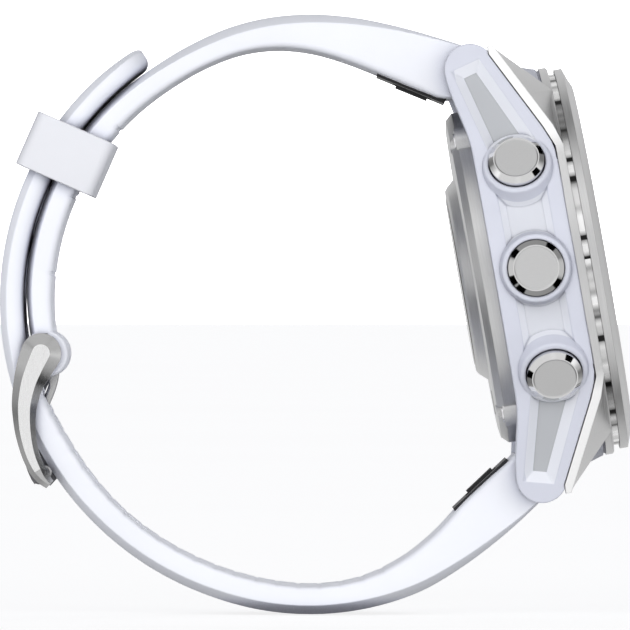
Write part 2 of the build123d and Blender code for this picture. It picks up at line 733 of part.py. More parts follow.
# ---------------------------------------------------------------- main
def export_all():
    os.makedirs(OUT, exist_ok=True)
    frame = make_bezel_frame()
    write("bezel_frame", frame)
    write("case_body", make_case_body(frame))
    write("back_plate", make_back_plate())
    write("back_screws", make_back_screws())
    write("back_gasket", tube_x(16.93, 16.65, 24.85, 25.2))
    write("sensor_window", make_sensor_window())
    write("sensor_housing", make_sensor_housing())
    write("sensor_optics", make_sensor_optics())
    write("sensor_board", tube_x(9.6, 0, 23.7, 24.2))
    write("charge_socket", make_charge_socket())
    write("charge_contacts", make_charge_contacts())
    write("battery", make_battery())
    write("main_board", make_main_board())
    write("board_chips", make_board_chips())
    write("mid_frame", make_mid_frame())
    write("gps_antenna", make_gps_antenna())
    write("motor_can", make_motor_can())
    write("motor_rotor", make_motor_rotor())
    write("display_panel", make_display_panel())
    write("display_glass", make_display_glass())
    write("chapter_ring", make_chapter_ring())
    write("groove_ring", make_groove_ring())
    write("front_bezel", make_front_bezel())
    write("lens", make_lens())
    write("button_bushings", make_bushings())
    write("button_switches", make_switches())
    for name, plane in all_buttons():
        write(name + "_button", make_button_cap(plane))
        write(name + "_clip", make_button_clip(plane))
        write(name + "_seal", make_button_seal(plane))
        write(name + "_spring", make_button_spring(plane))
    write("upper_strap", make_upper_strap())
    write("lower_strap", make_lower_strap())
    for name, sign in (("upper", 1), ("lower", -1)):
        write(name + "_lug_bar", make_lug_bar(sign))
        write(name + "_latch_plate", make_latch_plate(sign))
        write(name + "_latch_slider", make_latch_slider(sign))
        write(name + "_latch_spring", make_latch_spring(sign))
    write("buckle_frame", make_buckle_frame())
    write("buckle_pin", make_buckle_pin())
    write("buckle_tongue", make_buckle_tongue())
    write("keeper", make_keeper())


if __name__ == "__main__":
    export_all()
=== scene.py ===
"""Looks of the GPS running watch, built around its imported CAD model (Blender 4.5)."""

import json
import math

import bmesh
import bpy
from mathutils import Matrix, Vector


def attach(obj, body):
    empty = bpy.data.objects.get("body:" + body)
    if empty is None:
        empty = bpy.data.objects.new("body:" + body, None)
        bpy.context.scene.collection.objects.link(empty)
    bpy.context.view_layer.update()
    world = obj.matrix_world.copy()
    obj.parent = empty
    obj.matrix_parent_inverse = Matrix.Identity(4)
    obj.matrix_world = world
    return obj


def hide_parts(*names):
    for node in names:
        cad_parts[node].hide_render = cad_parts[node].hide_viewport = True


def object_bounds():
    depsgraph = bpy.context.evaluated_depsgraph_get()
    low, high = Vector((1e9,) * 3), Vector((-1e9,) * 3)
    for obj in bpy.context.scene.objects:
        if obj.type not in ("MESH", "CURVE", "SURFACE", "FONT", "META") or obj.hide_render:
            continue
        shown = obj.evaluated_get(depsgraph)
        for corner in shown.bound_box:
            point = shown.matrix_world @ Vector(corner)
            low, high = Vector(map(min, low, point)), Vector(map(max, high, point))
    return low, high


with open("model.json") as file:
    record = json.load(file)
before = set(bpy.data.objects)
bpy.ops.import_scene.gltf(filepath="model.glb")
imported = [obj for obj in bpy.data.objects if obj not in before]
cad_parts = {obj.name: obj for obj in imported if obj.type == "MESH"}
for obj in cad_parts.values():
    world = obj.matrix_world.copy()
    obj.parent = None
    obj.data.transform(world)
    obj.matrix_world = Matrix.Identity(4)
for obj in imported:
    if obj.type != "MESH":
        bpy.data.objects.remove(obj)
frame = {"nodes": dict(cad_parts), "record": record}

CAD_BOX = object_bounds()

MM = 0.001
LEAN = math.radians(10.0)  # the watch leans back by this much about Y

# the band, in the watch frame (mm): X out of the display, Z towards 12 o'clock, origin in the wrist space
ARC_AT = (4.4, 0.9)  # centre of the band's large arc, (x, z)


# ---------------------------------------------------------------- places
def watch(x, y, z):
    """A point of the watch frame, in mm, as a point of the row frame, in metres."""
    c, s = math.cos(LEAN), math.sin(LEAN)
    return Vector((x * c - z * s, y, x * s + z * c)) * MM


WATCH = Matrix.Rotation(-LEAN, 4, "Y") @ Matrix.Scale(MM, 4)


def on_arc(radius, degrees):
    a = math.radians(degrees)
    return ARC_AT[0] + radius * math.cos(a), ARC_AT[1] + radius * math.sin(a)


# ---------------------------------------------------------------- shader helpers
class Nodes:
    """Small helper that builds one material's node tree."""

    def __init__(self, name):
        self.mat = bpy.data.materials.new(name)
        self.mat.use_nodes = True
        self.tree = self.mat.node_tree
        self.shader = self.tree.nodes["Principled BSDF"]
        self.coords = self.tree.nodes.new("ShaderNodeTexCoord").outputs["Object"]

    def add(self, kind, **inputs):
        node = self.tree.nodes.new(kind)
        for key, value in inputs.items():
            self.feed(node.inputs[key.replace("_", " ")], value)
        return node

    def feed(self, socket, value):
        if isinstance(value, bpy.types.NodeSocket):
            self.tree.links.new(value, socket)
        else:
            socket.default_value = value

    def set(self, **inputs):
        for key, value in inputs.items():
            self.feed(self.shader.inputs[key.replace("_", " ")], value)

    def stretched(self, scale):
        node = self.add("ShaderNodeMapping", Vector=self.coords)
        node.inputs["Scale"].default_value = scale
        return node.outputs["Vector"]

    def noise(self, scale, detail=2.0, rough=0.5, vector=None, distortion=0.0):
        node = self.add("ShaderNodeTexNoise", Vector=vector or self.coords, Scale=scale, Detail=detail,
                        Roughness=rough, Distortion=distortion)
        return node.outputs["Fac"]

    def ramp(self, fac, *stops):
        node = self.add("ShaderNodeValToRGB", Fac=fac)
        ramp = node.color_ramp
        while len(ramp.elements) < len(stops):
            ramp.elements.new(0.5)
        for element, (place, value) in zip(ramp.elements, stops):
            element.position = place
            element.color = (*value, 1) if isinstance(value, tuple) else (value, value, value, 1)
        return node.outputs["Color"]

    def mix(self, fac, a, b, blend="MIX"):
        node = self.tree.nodes.new("ShaderNodeMix")
        node.data_type = "RGBA"
        node.blend_type = blend
        self.feed(node.inputs[0], fac)
        self.feed(node.inputs[6], (*a, 1) if isinstance(a, tuple) else a)
        self.feed(node.inputs[7], (*b, 1) if isinstance(b, tuple) else b)
        return node.outputs[2]

    def math(self, operation, a, b=0.0):
        node = self.tree.nodes.new("ShaderNodeMath")
        node.operation = operation
        self.feed(node.inputs[0], a)
        self.feed(node.inputs[1], b)
        return node.outputs[0]

    def bump(self, height, strength, distance):
        node = self.add("ShaderNodeBump", Height=height, Strength=strength, Distance=distance)
        return node.outputs["Normal"]

    def convexity(self):
        """Pointiness: high on the convex edges of a mesh, low in its hollows; used to paint highlights on
        edges.
        """
        geometry = self.tree.nodes.new("ShaderNodeNewGeometry")
        return geometry.outputs["Pointiness"]

    def hollow(self, distance):
        """1 in the open, falling towards 0 in creases narrower than distance (metres)."""
        node = self.tree.nodes.new("ShaderNodeAmbientOcclusion")
        node.samples = 6
        node.inputs["Distance"].default_value = distance
        return node.outputs["AO"]

    def round_edges(self, normal, radius):
        """Bump normal carried over edges that are softened by radius (metres)."""
        node = self.tree.nodes.new("ShaderNodeBevel")
        node.samples = 4
        node.inputs["Radius"].default_value = radius
        bump = normal.node
        self.tree.links.new(node.outputs["Normal"], bump.inputs["Normal"])
        return normal

    def watch_mm(self):
        """Separate X, Y, Z sockets of the point in the watch frame, in mm."""
        node = self.add("ShaderNodeMapping", Vector=self.coords)
        node.inputs["Scale"].default_value = (1 / MM, 1 / MM, 1 / MM)
        node.inputs["Rotation"].default_value = (0, LEAN, 0)
        split = self.add("ShaderNodeSeparateXYZ", Vector=node.outputs["Vector"])
        return split.outputs[0], split.outputs[1], split.outputs[2]

    def turned(self, scale):
        """Coordinates of lathe lines about the display's axis: radius and height, stretched by scale."""
        x, y, z = self.watch_mm()
        radius = self.math("SQRT", self.math("ADD", self.math("MULTIPLY", y, y), self.math("MULTIPLY", z, z)))
        join = self.tree.nodes.new("ShaderNodeCombineXYZ")
        self.feed(join.inputs[0], self.math("MULTIPLY", radius, scale))
        self.feed(join.inputs[1], self.math("MULTIPLY", x, scale))
        self.feed(join.inputs[2], self.math("MULTIPLY", self.math("ARCTAN2", z, y), 0.8))
        return join.outputs[0]

    def between(self, value, low, high):
        above = self.math("GREATER_THAN", value, low)
        below = self.math("LESS_THAN", value, high)
        return self.math("MULTIPLY", above, below)


# ---------------------------------------------------------------- materials
def moulded(name, colour, rough=0.42, grain=0.00006, grain_scale=9000.0, shade=0.94, edge=0.35):
    """Moulded polymer: fine spark-eroded grain, slight colour drift, edges a little smoother, and a painted
    highlight that lightens convex edges.
    """
    n = Nodes(name)
    n.set(Base_Color=moulded_colour(n, colour, shade, edge), Specular_IOR_Level=0.45)
    fine = n.noise(grain_scale, 2.0, 0.6)
    n.set(Roughness=n.ramp(fine, (0.3, rough - 0.05), (0.7, rough + 0.07)))
    n.set(Normal=n.round_edges(n.bump(fine, 0.35, grain), 0.00008))
    return n.mat


def moulded_colour(n, colour, shade, edge):
    dark = tuple(c * shade for c in colour)
    drift = n.ramp(n.noise(160.0, 3.0), (0.35, 0.0), (0.65, 1.0))
    base = n.mix(drift, dark, colour)
    # painted highlight: convex edges are mixed towards a lighter copy of the colour
    edge_highlight = n.ramp(n.convexity(), (0.5, 0.0), (0.56, 1.0))
    light = tuple(min(1.0, c * 1.05) for c in colour)
    return n.mix(n.math("MULTIPLY", edge_highlight, edge), base, light)


def case_polymer(name):
    """Lavender walls with painted light: whiter chamfers round the side recesses and the channel (painted
    highlight), grey satin recess floors, a slightly darker channel floor and darker creases (painted shade).
    """
    n = Nodes(name)
    base = moulded_colour(n, PALE, 0.96, 0.3)
    x, y, z = n.watch_mm()
    height = n.math("ABSOLUTE", z)
    wall = n.math("ADD", n.math("MULTIPLY", height, LUG_SLOPE), LUG_WALL_AT_AXIS)
    depth = n.math("SUBTRACT", wall, n.math("ABSOLUTE", y))
    lug = n.math("GREATER_THAN", height, LUGS_FROM)
    before_rear = n.math("GREATER_THAN", x, LUG_REAR)
    chamfer = n.math("MULTIPLY", n.math("MULTIPLY", lug, n.between(depth, *CHAMFER_DEPTHS)), before_rear)
    floor = n.math("MULTIPLY", lug, n.between(depth, *FLOOR_DEPTHS))
    radius = n.math("SQRT", n.math("ADD", n.math("MULTIPLY", y, y), n.math("MULTIPLY", z, z)))
    middle = n.math("MULTIPLY", n.math("SUBTRACT", 1.0, lug), n.between(x, *CHANNEL_X))
    channel_floor = n.math("MULTIPLY", middle, n.between(radius, *CHANNEL_FLOOR_R))
    channel_side = n.math("MULTIPLY", middle, n.between(radius, *CHANNEL_SIDE_R))
    # painted highlight on the chamfers of the lug recesses and on the channel's sides
    base = n.mix(n.math("MAXIMUM", chamfer, channel_side), base, CHAMFER_HIGHLIGHT)
    # painted shade on the lug recess floors
    base = n.mix(floor, base, RECESS_FLOOR_SHADE)
    # painted shade on the channel floor
    base = n.mix(channel_floor, base, CHANNEL_FLOOR_SHADE)
    # painted shade: creases narrower than half a millimetre are darkened
    crease_shade = n.ramp(n.hollow(0.0005), (0.35, (0.50, 0.50, 0.56)), (0.80, (1.0, 1.0, 1.0)))
    n.set(Base_Color=n.mix(1.0, base, crease_shade, "MULTIPLY"), Specular_IOR_Level=0.4)
    fine = n.noise(9000.0, 2.0, 0.6)
    n.set(Roughness=n.ramp(fine, (0.3, 0.40), (0.7, 0.52)))
    n.set(Normal=n.round_edges(n.bump(fine, 0.3, 0.00004), 0.0003))
    return n.mat


def silicone(name, colour):
    """Matte silicone: soft powdery bloom, faint mould texture, scattered specks, and painted shade in its
    creases.
    """
    n = Nodes(name)
    drift = n.ramp(n.noise(90.0, 4.0, 0.55), (0.3, 0.0), (0.7, 1.0))
    base = n.mix(drift, tuple(c * 0.96 for c in colour), colour)
    specks = n.ramp(n.noise(5200.0, 1.0, 0.4), (0.68, 0.0), (0.78, 1.0))
    base = n.mix(n.math("MULTIPLY", specks, 0.10), base, tuple(c * 0.85 for c in colour))
    # painted shade: creases and gaps narrower than 2.2 mm are darkened and tinted blue
    crease_shade = n.ramp(n.hollow(0.0022), (0.2, (0.26, 0.26, 0.30)), (0.62, (0.86, 0.87, 0.93)))
    crease_shade = n.mix(n.ramp(n.hollow(0.0022), (0.55, 0.0), (0.9, 1.0)), crease_shade, (1.0, 1.0, 1.0))
    fine = n.noise(6500.0, 3.0, 0.6)
    n.set(Base_Color=n.mix(1.0, base, crease_shade, "MULTIPLY"), Specular_IOR_Level=0.35)
    n.set(Roughness=n.ramp(drift, (0.0, 0.50), (1.0, 0.60)))
    n.set(Sheen_Weight=0.1, Sheen_Roughness=0.5)
    n.set(Normal=n.bump(fine, 0.25, 0.00004))
    return n.mat


def brushed(name, colour, rough=0.3, along=(40.0, 1.0, 40.0), scale=900.0, depth=0.00001, edge=0.0001):
    """Brushed or blasted steel; along stretches the grain: a small number is the brushing direction."""
    n = Nodes(name)
    return finish_brushed(n, n.noise(scale, 3.0, 0.65, vector=n.stretched(along)), colour, rough, depth, edge)


def shield_steel(name, colour):
    """The case's steel frame: lathed, its four lug shields with a painted highlight on their straight sides
    that fades downwards.
    """
    n = Nodes(name)
    lines = n.noise(7.0, 3.0, 0.65, vector=n.turned(1.0))
    _, y, z = n.watch_mm()
    height = n.math("ABSOLUTE", z)
    wall = n.math("ADD", n.math("MULTIPLY", height, SHIELD_SLOPE), SHIELD_WALL_AT_AXIS)
    depth = n.math("SUBTRACT", wall, n.math("ABSOLUTE", y))
    share = n.math("DIVIDE", height, SHIELD_TIP)
    climb = n.ramp(share, (HIGHLIGHT_FROM / SHIELD_TIP, 0.0), (HIGHLIGHT_FULL / SHIELD_TIP, 1.0))
    # painted highlight on the shields' straight walls, rising with height
    bright = n.math("MULTIPLY", n.between(depth, *HIGHLIGHT_DEPTHS), climb)
    tone = n.ramp(lines, (0.3, tuple(c * 0.9 for c in colour)), (0.7, colour))
    n.set(Base_Color=n.mix(bright, tone, (0.97, 0.97, 0.97)), Metallic=1.0)
    n.set(Roughness=n.ramp(lines, (0.25, 0.28), (0.75, 0.42)))
    n.set(Normal=n.round_edges(n.bump(lines, 0.25, 0.00001), 0.0001))
    return n.mat


def lathed(name, colour, rough=0.34, depth=0.00001, edge=0.0001):
    """Steel turned about the display's axis: fine concentric lines."""
    n = Nodes(name)
    return finish_brushed(n, n.noise(7.0, 3.0, 0.65, vector=n.turned(1.0)), colour, rough, depth, edge)


def finish_brushed(n, lines, colour, rough, depth, edge):
    cloud = n.noise(120.0, 3.0)
    tone = n.ramp(lines, (0.3, tuple(c * 0.88 for c in colour)), (0.7, colour))
    tone = n.mix(n.ramp(cloud, (0.35, 0.0), (0.7, 0.25)), tone, tuple(c * 0.92 for c in colour))
    n.set(Base_Color=tone, Metallic=1.0)
    n.set(Roughness=n.ramp(lines, (0.25, rough - 0.06), (0.75, rough + 0.1)))
    n.set(Normal=n.round_edges(n.bump(lines, 0.25, depth), edge))
    return n.mat


def polished(name, colour, rough=0.08):
    """Polished steel with hair-fine wiping marks."""
    n = Nodes(name)
    wipes = n.noise(2600.0, 4.0, 0.7, vector=n.stretched((1.0, 6.0, 1.0)), distortion=0.4)
    cloud = n.noise(300.0, 2.0)
    n.set(Base_Color=n.ramp(cloud, (0.3, tuple(c * 0.93 for c in colour)), (0.7, colour)), Metallic=1.0)
    n.set(Roughness=n.ramp(wipes, (0.4, rough), (0.75, rough + 0.08)))
    n.set(Normal=n.bump(wipes, 0.05, 0.000004))
    return n.mat


def button_steel(name, colour, centre, axis, face_radius):
    """Brushed flat face inside a mirror-polished bevel; the two meet face_radius from the button's axis."""
    n = Nodes(name)
    lines = n.noise(1400.0, 3.0, 0.65, vector=n.stretched((1.0, 30.0, 30.0)))
    offset = n.add("ShaderNodeVectorMath", Vector=n.coords)
    offset.operation = "SUBTRACT"
    offset.inputs[1].default_value = centre
    cross = n.tree.nodes.new("ShaderNodeVectorMath")
    cross.operation = "CROSS_PRODUCT"
    n.tree.links.new(offset.outputs[0], cross.inputs[0])
    cross.inputs[1].default_value = axis
    length = n.tree.nodes.new("ShaderNodeVectorMath")
    length.operation = "LENGTH"
    n.tree.links.new(cross.outputs[0], length.inputs[0])
    ring = n.math("GREATER_THAN", length.outputs["Value"], face_radius)
    face = n.ramp(lines, (0.3, tuple(c * 0.92 for c in colour)), (0.7, colour))
    n.set(Base_Color=n.mix(ring, face, tuple(min(1.0, c * 1.12) for c in colour)), Metallic=1.0)
    face_rough = n.ramp(lines, (0.25, 0.30), (0.75, 0.42))
    n.set(Roughness=n.mix(ring, face_rough, (0.06, 0.06, 0.06)))
    height = n.math("MULTIPLY", lines, n.math("SUBTRACT", 1.0, ring))
    n.set(Normal=n.bump(height, 0.2, 0.000008))
    return n.mat


def clear_lens(name):
    """Hard glass over the display, with a faint coating tint and fingerprint haze in its roughness."""
    n = Nodes(name)
    smear = n.noise(140.0, 4.0, 0.6, distortion=0.8)
    n.set(Base_Color=n.ramp(smear, (0.3, (0.93, 0.95, 0.96)), (0.7, (0.98, 0.98, 1.0))))
    n.set(Roughness=n.ramp(smear, (0.35, 0.0), (0.75, 0.06)), IOR=1.45, Transmission_Weight=1.0)
    n.set(Coat_Weight=0.3, Coat_Roughness=0.03)
    return n.mat


def dark_window(name):
    """Smoked window over the heart-rate optics."""
    n = Nodes(name)
    smear = n.noise(220.0, 4.0, 0.6, distortion=0.5)
    n.set(Base_Color=n.ramp(smear, (0.3, (0.010, 0.011, 0.013)), (0.7, (0.02, 0.021, 0.024))))
    n.set(Roughness=n.ramp(smear, (0.35, 0.06), (0.75, 0.16)), Specular_IOR_Level=0.6)
    n.set(Coat_Weight=0.5, Coat_Roughness=0.05)
    return n.mat


def board(name):
    n = Nodes(name)
    tracks = n.ramp(n.noise(2400.0, 2.0, 0.3), (0.47, 0.0), (0.5, 1.0))
    n.set(Base_Color=n.mix(tracks, (0.008, 0.07, 0.03), (0.015, 0.13, 0.05)), Roughness=0.4)
    n.set(Normal=n.bump(tracks, 0.2, 0.00002))
    return n.mat


def foil(name):
    n = Nodes(name)
    creases = n.noise(700.0, 4.0, 0.6, distortion=1.2)
    n.set(Base_Color=n.ramp(creases, (0.3, (0.5, 0.51, 0.53)), (0.7, (0.68, 0.69, 0.71))), Metallic=1.0)
    n.set(Roughness=n.ramp(creases, (0.3, 0.25), (0.7, 0.45)), Normal=n.bump(creases, 0.4, 0.00005))
    return n.mat


def groove_look(name):
    """Polished ring at the bottom of the groove, with painted reflections: patches round it that read bright,
    grey or black.
    """
    n = Nodes(name)
    _, y, z = n.watch_mm()
    angle = n.math("ARCTAN2", z, y)
    join = n.tree.nodes.new("ShaderNodeCombineXYZ")
    n.feed(join.inputs[0], n.math("MULTIPLY", angle, 9.0))
    reflection_patches = n.noise(1.0, 1.0, 0.4, vector=join.outputs[0])
    # painted reflections: black, grey and bright patches in the base colour
    tone = n.ramp(reflection_patches, (0.40, 0.02), (0.43, 0.40), (0.50, 0.7), (0.56, 0.95))
    n.set(Base_Color=tone, Metallic=1.0, Roughness=n.ramp(reflection_patches, (0.3, 0.12), (0.7, 0.3)))
    n.set(Normal=n.bump(reflection_patches, 0.4, 0.00006))
    return n.mat


PALE = (0.635, 0.648, 0.71)
WHITE = (0.86, 0.87, 0.90)
STEEL = (0.66, 0.66, 0.66)
# painted light on the case: a highlight on the chamfers, shade on the recess and channel floors
CHAMFER_HIGHLIGHT = (0.76, 0.77, 0.80)
RECESS_FLOOR_SHADE = (0.44, 0.45, 0.46)
CHANNEL_FLOOR_SHADE = (0.62, 0.63, 0.66)

# where the painted highlights and shade of the case and its frame start and end, mm in the watch frame;
# heights are from the 3-9 line
SHIELD_SLOPE = -0.3172  # how fast the shields' straight walls close in with height
SHIELD_WALL_AT_AXIS = 22.03  # half width of those walls carried down to the 3-9 line
SHIELD_TIP = 20.0  # height that the shields nearly reach
HIGHLIGHT_FROM, HIGHLIGHT_FULL = 11.6, 14.0  # heights between which the painted highlight on the shields' walls fades in
HIGHLIGHT_DEPTHS = (-0.3, 0.06)  # depths under the shields' walls that count as the wall
LUG_SLOPE = -0.3056  # how fast the lugs' straight outer walls close in with height
LUG_WALL_AT_AXIS = 21.75  # half width of those walls carried down to the 3-9 line
LUGS_FROM = 12.3  # height beyond which the side recesses are those of the lugs
LUG_REAR = 24.3  # x below which a lug has no recess
CHAMFER_DEPTHS, FLOOR_DEPTHS = (0.04, 0.99), (0.99, 1.3)  # of a lug recess, under the lug's wall
CHANNEL_X = (24.9, 33.0)  # extent of the channel that runs between the buttons
CHANNEL_FLOOR_R, CHANNEL_SIDE_R = (19.6, 20.06), (20.06, 20.74)  # distances from the display's axis

MATERIALS = {
    "case_polymer": case_polymer("case_polymer_look"),
    "silicone": silicone("silicone_look", WHITE),
    "steel": lathed("steel_look", STEEL),
    "polished_steel": polished("polished_look", (0.82, 0.82, 0.84)),
    "black_plastic": moulded("black_plastic_look", (0.018, 0.018, 0.02), rough=0.5, shade=0.7),
    "lens_glass": clear_lens("lens_look"),
    "sensor_glass": dark_window("window_look"),
    "display": moulded("display_look", (0.012, 0.014, 0.016), rough=0.25, shade=0.8),
    "board": board("board_look"),
    "chip": moulded("chip_look", (0.02, 0.02, 0.02), rough=0.55, shade=0.7),
    "gold": brushed("gold_look", (0.83, 0.62, 0.27), rough=0.2),
    "battery": foil("foil_look"),
    "seal": moulded("seal_look", (0.02, 0.02, 0.02), rough=0.6, shade=0.7),
    "bare_metal": brushed("bare_metal_look", (0.66, 0.66, 0.68), rough=0.35),
}
UP_DOWN = (25.0, 25.0, 1.0)  # brushing along the buckle's arms
# painted highlight: a much lighter copy of the buckle steel for the arms' outer faces
BUCKLE_FACE = brushed("buckle_face_look", (0.93, 0.93, 0.93), rough=0.25, along=UP_DOWN, edge=0.00003)
BUCKLE_STEEL = brushed("buckle_steel_look", (0.56, 0.56, 0.56), rough=0.16, along=UP_DOWN, edge=0.00004)
# painted shade: a nearly black copy of the buckle steel for the arms' inner faces and the crossbar
SHADE_STEEL = brushed("shade_steel_look", (0.16, 0.16, 0.17), rough=0.25, along=UP_DOWN, edge=0.00004)
KEEPER_LOOK = silicone("keeper_look", (0.765, 0.768, 0.785))


def dress(name, look):
    """Gives a CAD node one look."""
    materials = frame["nodes"][name].data.materials
    if not materials:
        materials.append(look)
    for i in range(len(materials)):
        materials[i] = look


def dress_frame():
    """Gives every CAD node the look of its material slot."""
    for part in frame["record"]["subparts"]:
        dress(part["node"], MATERIALS[part["material_slot"]])


# ---------------------------------------------------------------- meshes
SHARP = 32.0  # edges that turn by more degrees than this are shaded as edges


def finish_piece(name, bm, look, body, nodes=(), sharp=SHARP):
    """Turns a bmesh in row-frame metres into a piece that rides on a body."""
    bmesh.ops.remove_doubles(bm, verts=bm.verts, dist=1e-7)
    bmesh.ops.recalc_face_normals(bm, faces=bm.faces)
    for face in bm.faces:
        face.smooth = True
    for edge in bm.edges:
        if len(edge.link_faces) == 2 and edge.calc_face_angle(0) > math.radians(sharp):
            edge.smooth = False
    mesh = bpy.data.meshes.new(name)
    bm.to_mesh(mesh)
    bm.free()
    mesh.materials.append(look)
    obj = bpy.data.objects.new(name, mesh)
    bpy.context.scene.collection.objects.link(obj)
    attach(obj, body)
    if nodes:
        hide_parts(*nodes)
    return obj


def rounded(corners):
    """Closed outline with arcs at its corners; corners are (u, v, radius, arc steps)."""
    outline = []
    count = len(corners)
    for i, (u, v, radius, steps) in enumerate(corners):
        here = Vector((u, v))
        before = Vector(corners[i - 1][:2]) - here
        after = Vector(corners[(i + 1) % count][:2]) - here
        half = before.angle(after) / 2
        reach = radius / math.tan(half)
        a, b = before.normalized(), after.normalized()
        centre = here + (a + b).normalized() * (radius / math.sin(half))
        start = here + a * reach - centre
        turn = start.angle_signed(here + b * reach - centre)
        for k in range(steps + 1):
            spin = Matrix.Rotation(-turn * k / steps, 2)
            outline.append(centre + spin @ start)
    return outline


def stitch(bm, rings, closed_path=False, first_cap=True):
    """Quads between rings of equal length; open paths are capped."""
    pairs = list(zip(rings, rings[1:]))
    if closed_path:
        pairs.append((rings[-1], rings[0]))
    for first, second in pairs:
        for k in range(len(first)):
            m = (k + 1) % len(first)
            bm.faces.new((first[k], first[m], second[m], second[k]))
    if closed_path:
        return
    bm.faces.new(list(reversed(rings[-1])))
    if first_cap:
        bm.faces.new(rings[0])


def smooth_between(table, at):
    """Catmull-Rom reading of a table of rows whose first entry is the key, falling or rising."""
    rows = table if table[0][0] < table[-1][0] else table[::-1]
    i = 0
    while i < len(rows) - 2 and rows[i + 1][0] < at:
        i += 1
    before, after = rows[max(i - 1, 0)], rows[min(i + 2, len(rows) - 1)]
    low, high = rows[i], rows[i + 1]
    t = (at - low[0]) / (high[0] - low[0])
    values = []
    for p0, p1, p2, p3 in zip(before[1:], low[1:], high[1:], after[1:]):
        cubic = 3 * (p1 - p2) + p3 - p0
        square = 2 * p0 - 5 * p1 + 4 * p2 - p3
        values.append(p1 + 0.5 * t * (p2 - p0 + t * (square + t * cubic)))
    return values


# ---------------------------------------------------------------- band
PIN_AT = (25.6, 22.2)  # lug bar axis, (x, z)
R_EYE = 2.72  # round ends of the band, between the lugs
R_TAIL = 31.15  # centreline of the free end
TAIL_TIP = -247.0  # angle of its tip on the arc
TAIL_CORNER = 5.0  # radius of its corners seen from outside the loop
TAIL_EDGE = 1.15  # rounding of its end over the thickness
UPPER_END = 181.6  # angle where the short half ends, in the boss round the pin
HOLE_L, HOLE_W, HOLE_PITCH = 5.4, 2.6, 7.8  # slots of the free end
HOLE_DEPTH = 3.0  # reach of a slot's cut either side of R_TAIL
TONGUE_ANGLE = 193.1
BUCKLE_PIN = (-23.75, 0.1)  # (x, z)
BAND_HALF = 8.8  # half width of the band at the buckle
SECTION_STEP = 1.6  # degrees from one section of the band to the next
EDGE_ROUND, CROWN = 0.18, 0.1  # rounding of the outer bevels' edges, and rise of the outer face's middle
EYE_TURNS = {1: (84, 76, 66, 54, 42, 30), -1: (84, 76, 66, 54, 42)}  # sections of the ends, degrees

# grooves across the inner face: depth in mm, then pitch and angles of the first and last
UPPER_GROOVES = (0.12, 18.3, 127.3, 165.0)
LOWER_GROOVES = (0.06, -4.3, -84.0, -176.0)
GROOVE_FLANKS = ((-0.55, 0.0), (-0.35, 1.0), (0.35, 1.0), (0.55, 0.0))  # degrees from its middle, depth
GROOVE_CLEAR = 1.1  # degrees either side of a groove with no section of their own

# band stations: angle on the arc, inner radius, outer radius, half width, outer bevel across, outer bevel
# down the side, rounding of the inner edges
UPPER_BAND = (
    (43.6, 26.75, 32.1, 10.0, 0.25, 0.2, 0.4), (46, 25.95, 32.2, 10.0, 0.3, 0.22, 0.5),
    (54, 25.42, 31.4, 10.0, 0.6, 0.35, 0.8), (62, 25.45, 30.9, 9.95, 1.0, 0.6, 0.8),
    (70, 25.9, 30.7, 9.8, 1.4, 0.85, 0.8), (78, 26.55, 30.6, 9.6, 1.7, 1.0, 0.75),
    (86, 27.05, 30.5, 9.35, 1.8, 1.05, 0.7), (94, 27.25, 30.3, 9.1, 1.9, 1.05, 0.6),
    (103, 27.1, 29.95, 8.85, 2.0, 0.95, 0.6), (112, 26.9, 29.7, 8.8, 2.2, 0.8, 0.7),
    (124, 26.85, 29.68, 8.8, 2.2, 0.7, 0.8), (138, 26.85, 29.7, 8.8, 2.2, 0.65, 0.8),
    (152, 26.85, 29.7, 8.8, 2.2, 0.65, 0.8), (167, 26.85, 29.68, 8.8, 2.2, 0.65, 0.8),
    (181.6, 26.85, 29.4, 8.8, 2.0, 0.6, 0.6),
)
LOWER_BAND = (
    (-46, 27.85, 33.3, 10.0, 0.3, 0.25, 0.5), (-54, 27.37, 33.0, 10.0, 0.6, 0.4, 0.8),
    (-62, 27.47, 32.95, 9.95, 1.1, 0.7, 0.8), (-70, 28.4, 33.15, 9.85, 1.5, 0.9, 0.8),
    (-78, 29.4, 33.5, 9.7, 1.8, 1.05, 0.75), (-88, 30.3, 33.6, 9.5, 1.9, 1.1, 0.6),
    (-98, 30.5, 33.55, 9.3, 1.9, 1.05, 0.5), (-108, 30.25, 33.4, 9.1, 1.9, 1.05, 0.5),
    (-118, 30.0, 33.15, 8.95, 1.8, 1.0, 0.5), (-129, 29.8, 32.95, 8.85, 1.7, 0.95, 0.5),
    (-140, 29.65, 32.75, 8.8, 1.6, 0.9, 0.5), (-150, 29.45, 32.6, 8.8, 1.5, 0.85, 0.6),
    (-160, 29.35, 32.5, 8.8, 1.4, 0.85, 0.7), (-170, 29.55, 32.5, 8.8, 1.3, 0.8, 0.9),
    (-180, 29.85, 32.5, 8.8, 1.2, 0.8, 1.1), (-194, 29.9, 32.5, 8.8, 1.2, 0.8, 1.3),
    (-208, 29.9, 32.5, 8.8, 1.2, 0.85, 1.45), (-222, 29.9, 32.5, 8.8, 1.3, 0.85, 1.55),
    (-236, 29.9, 32.45, 8.8, 1.4, 0.8, 1.6), (-247.0, 29.95, 32.35, 8.8, 1.4, 0.5, 1.6),
)


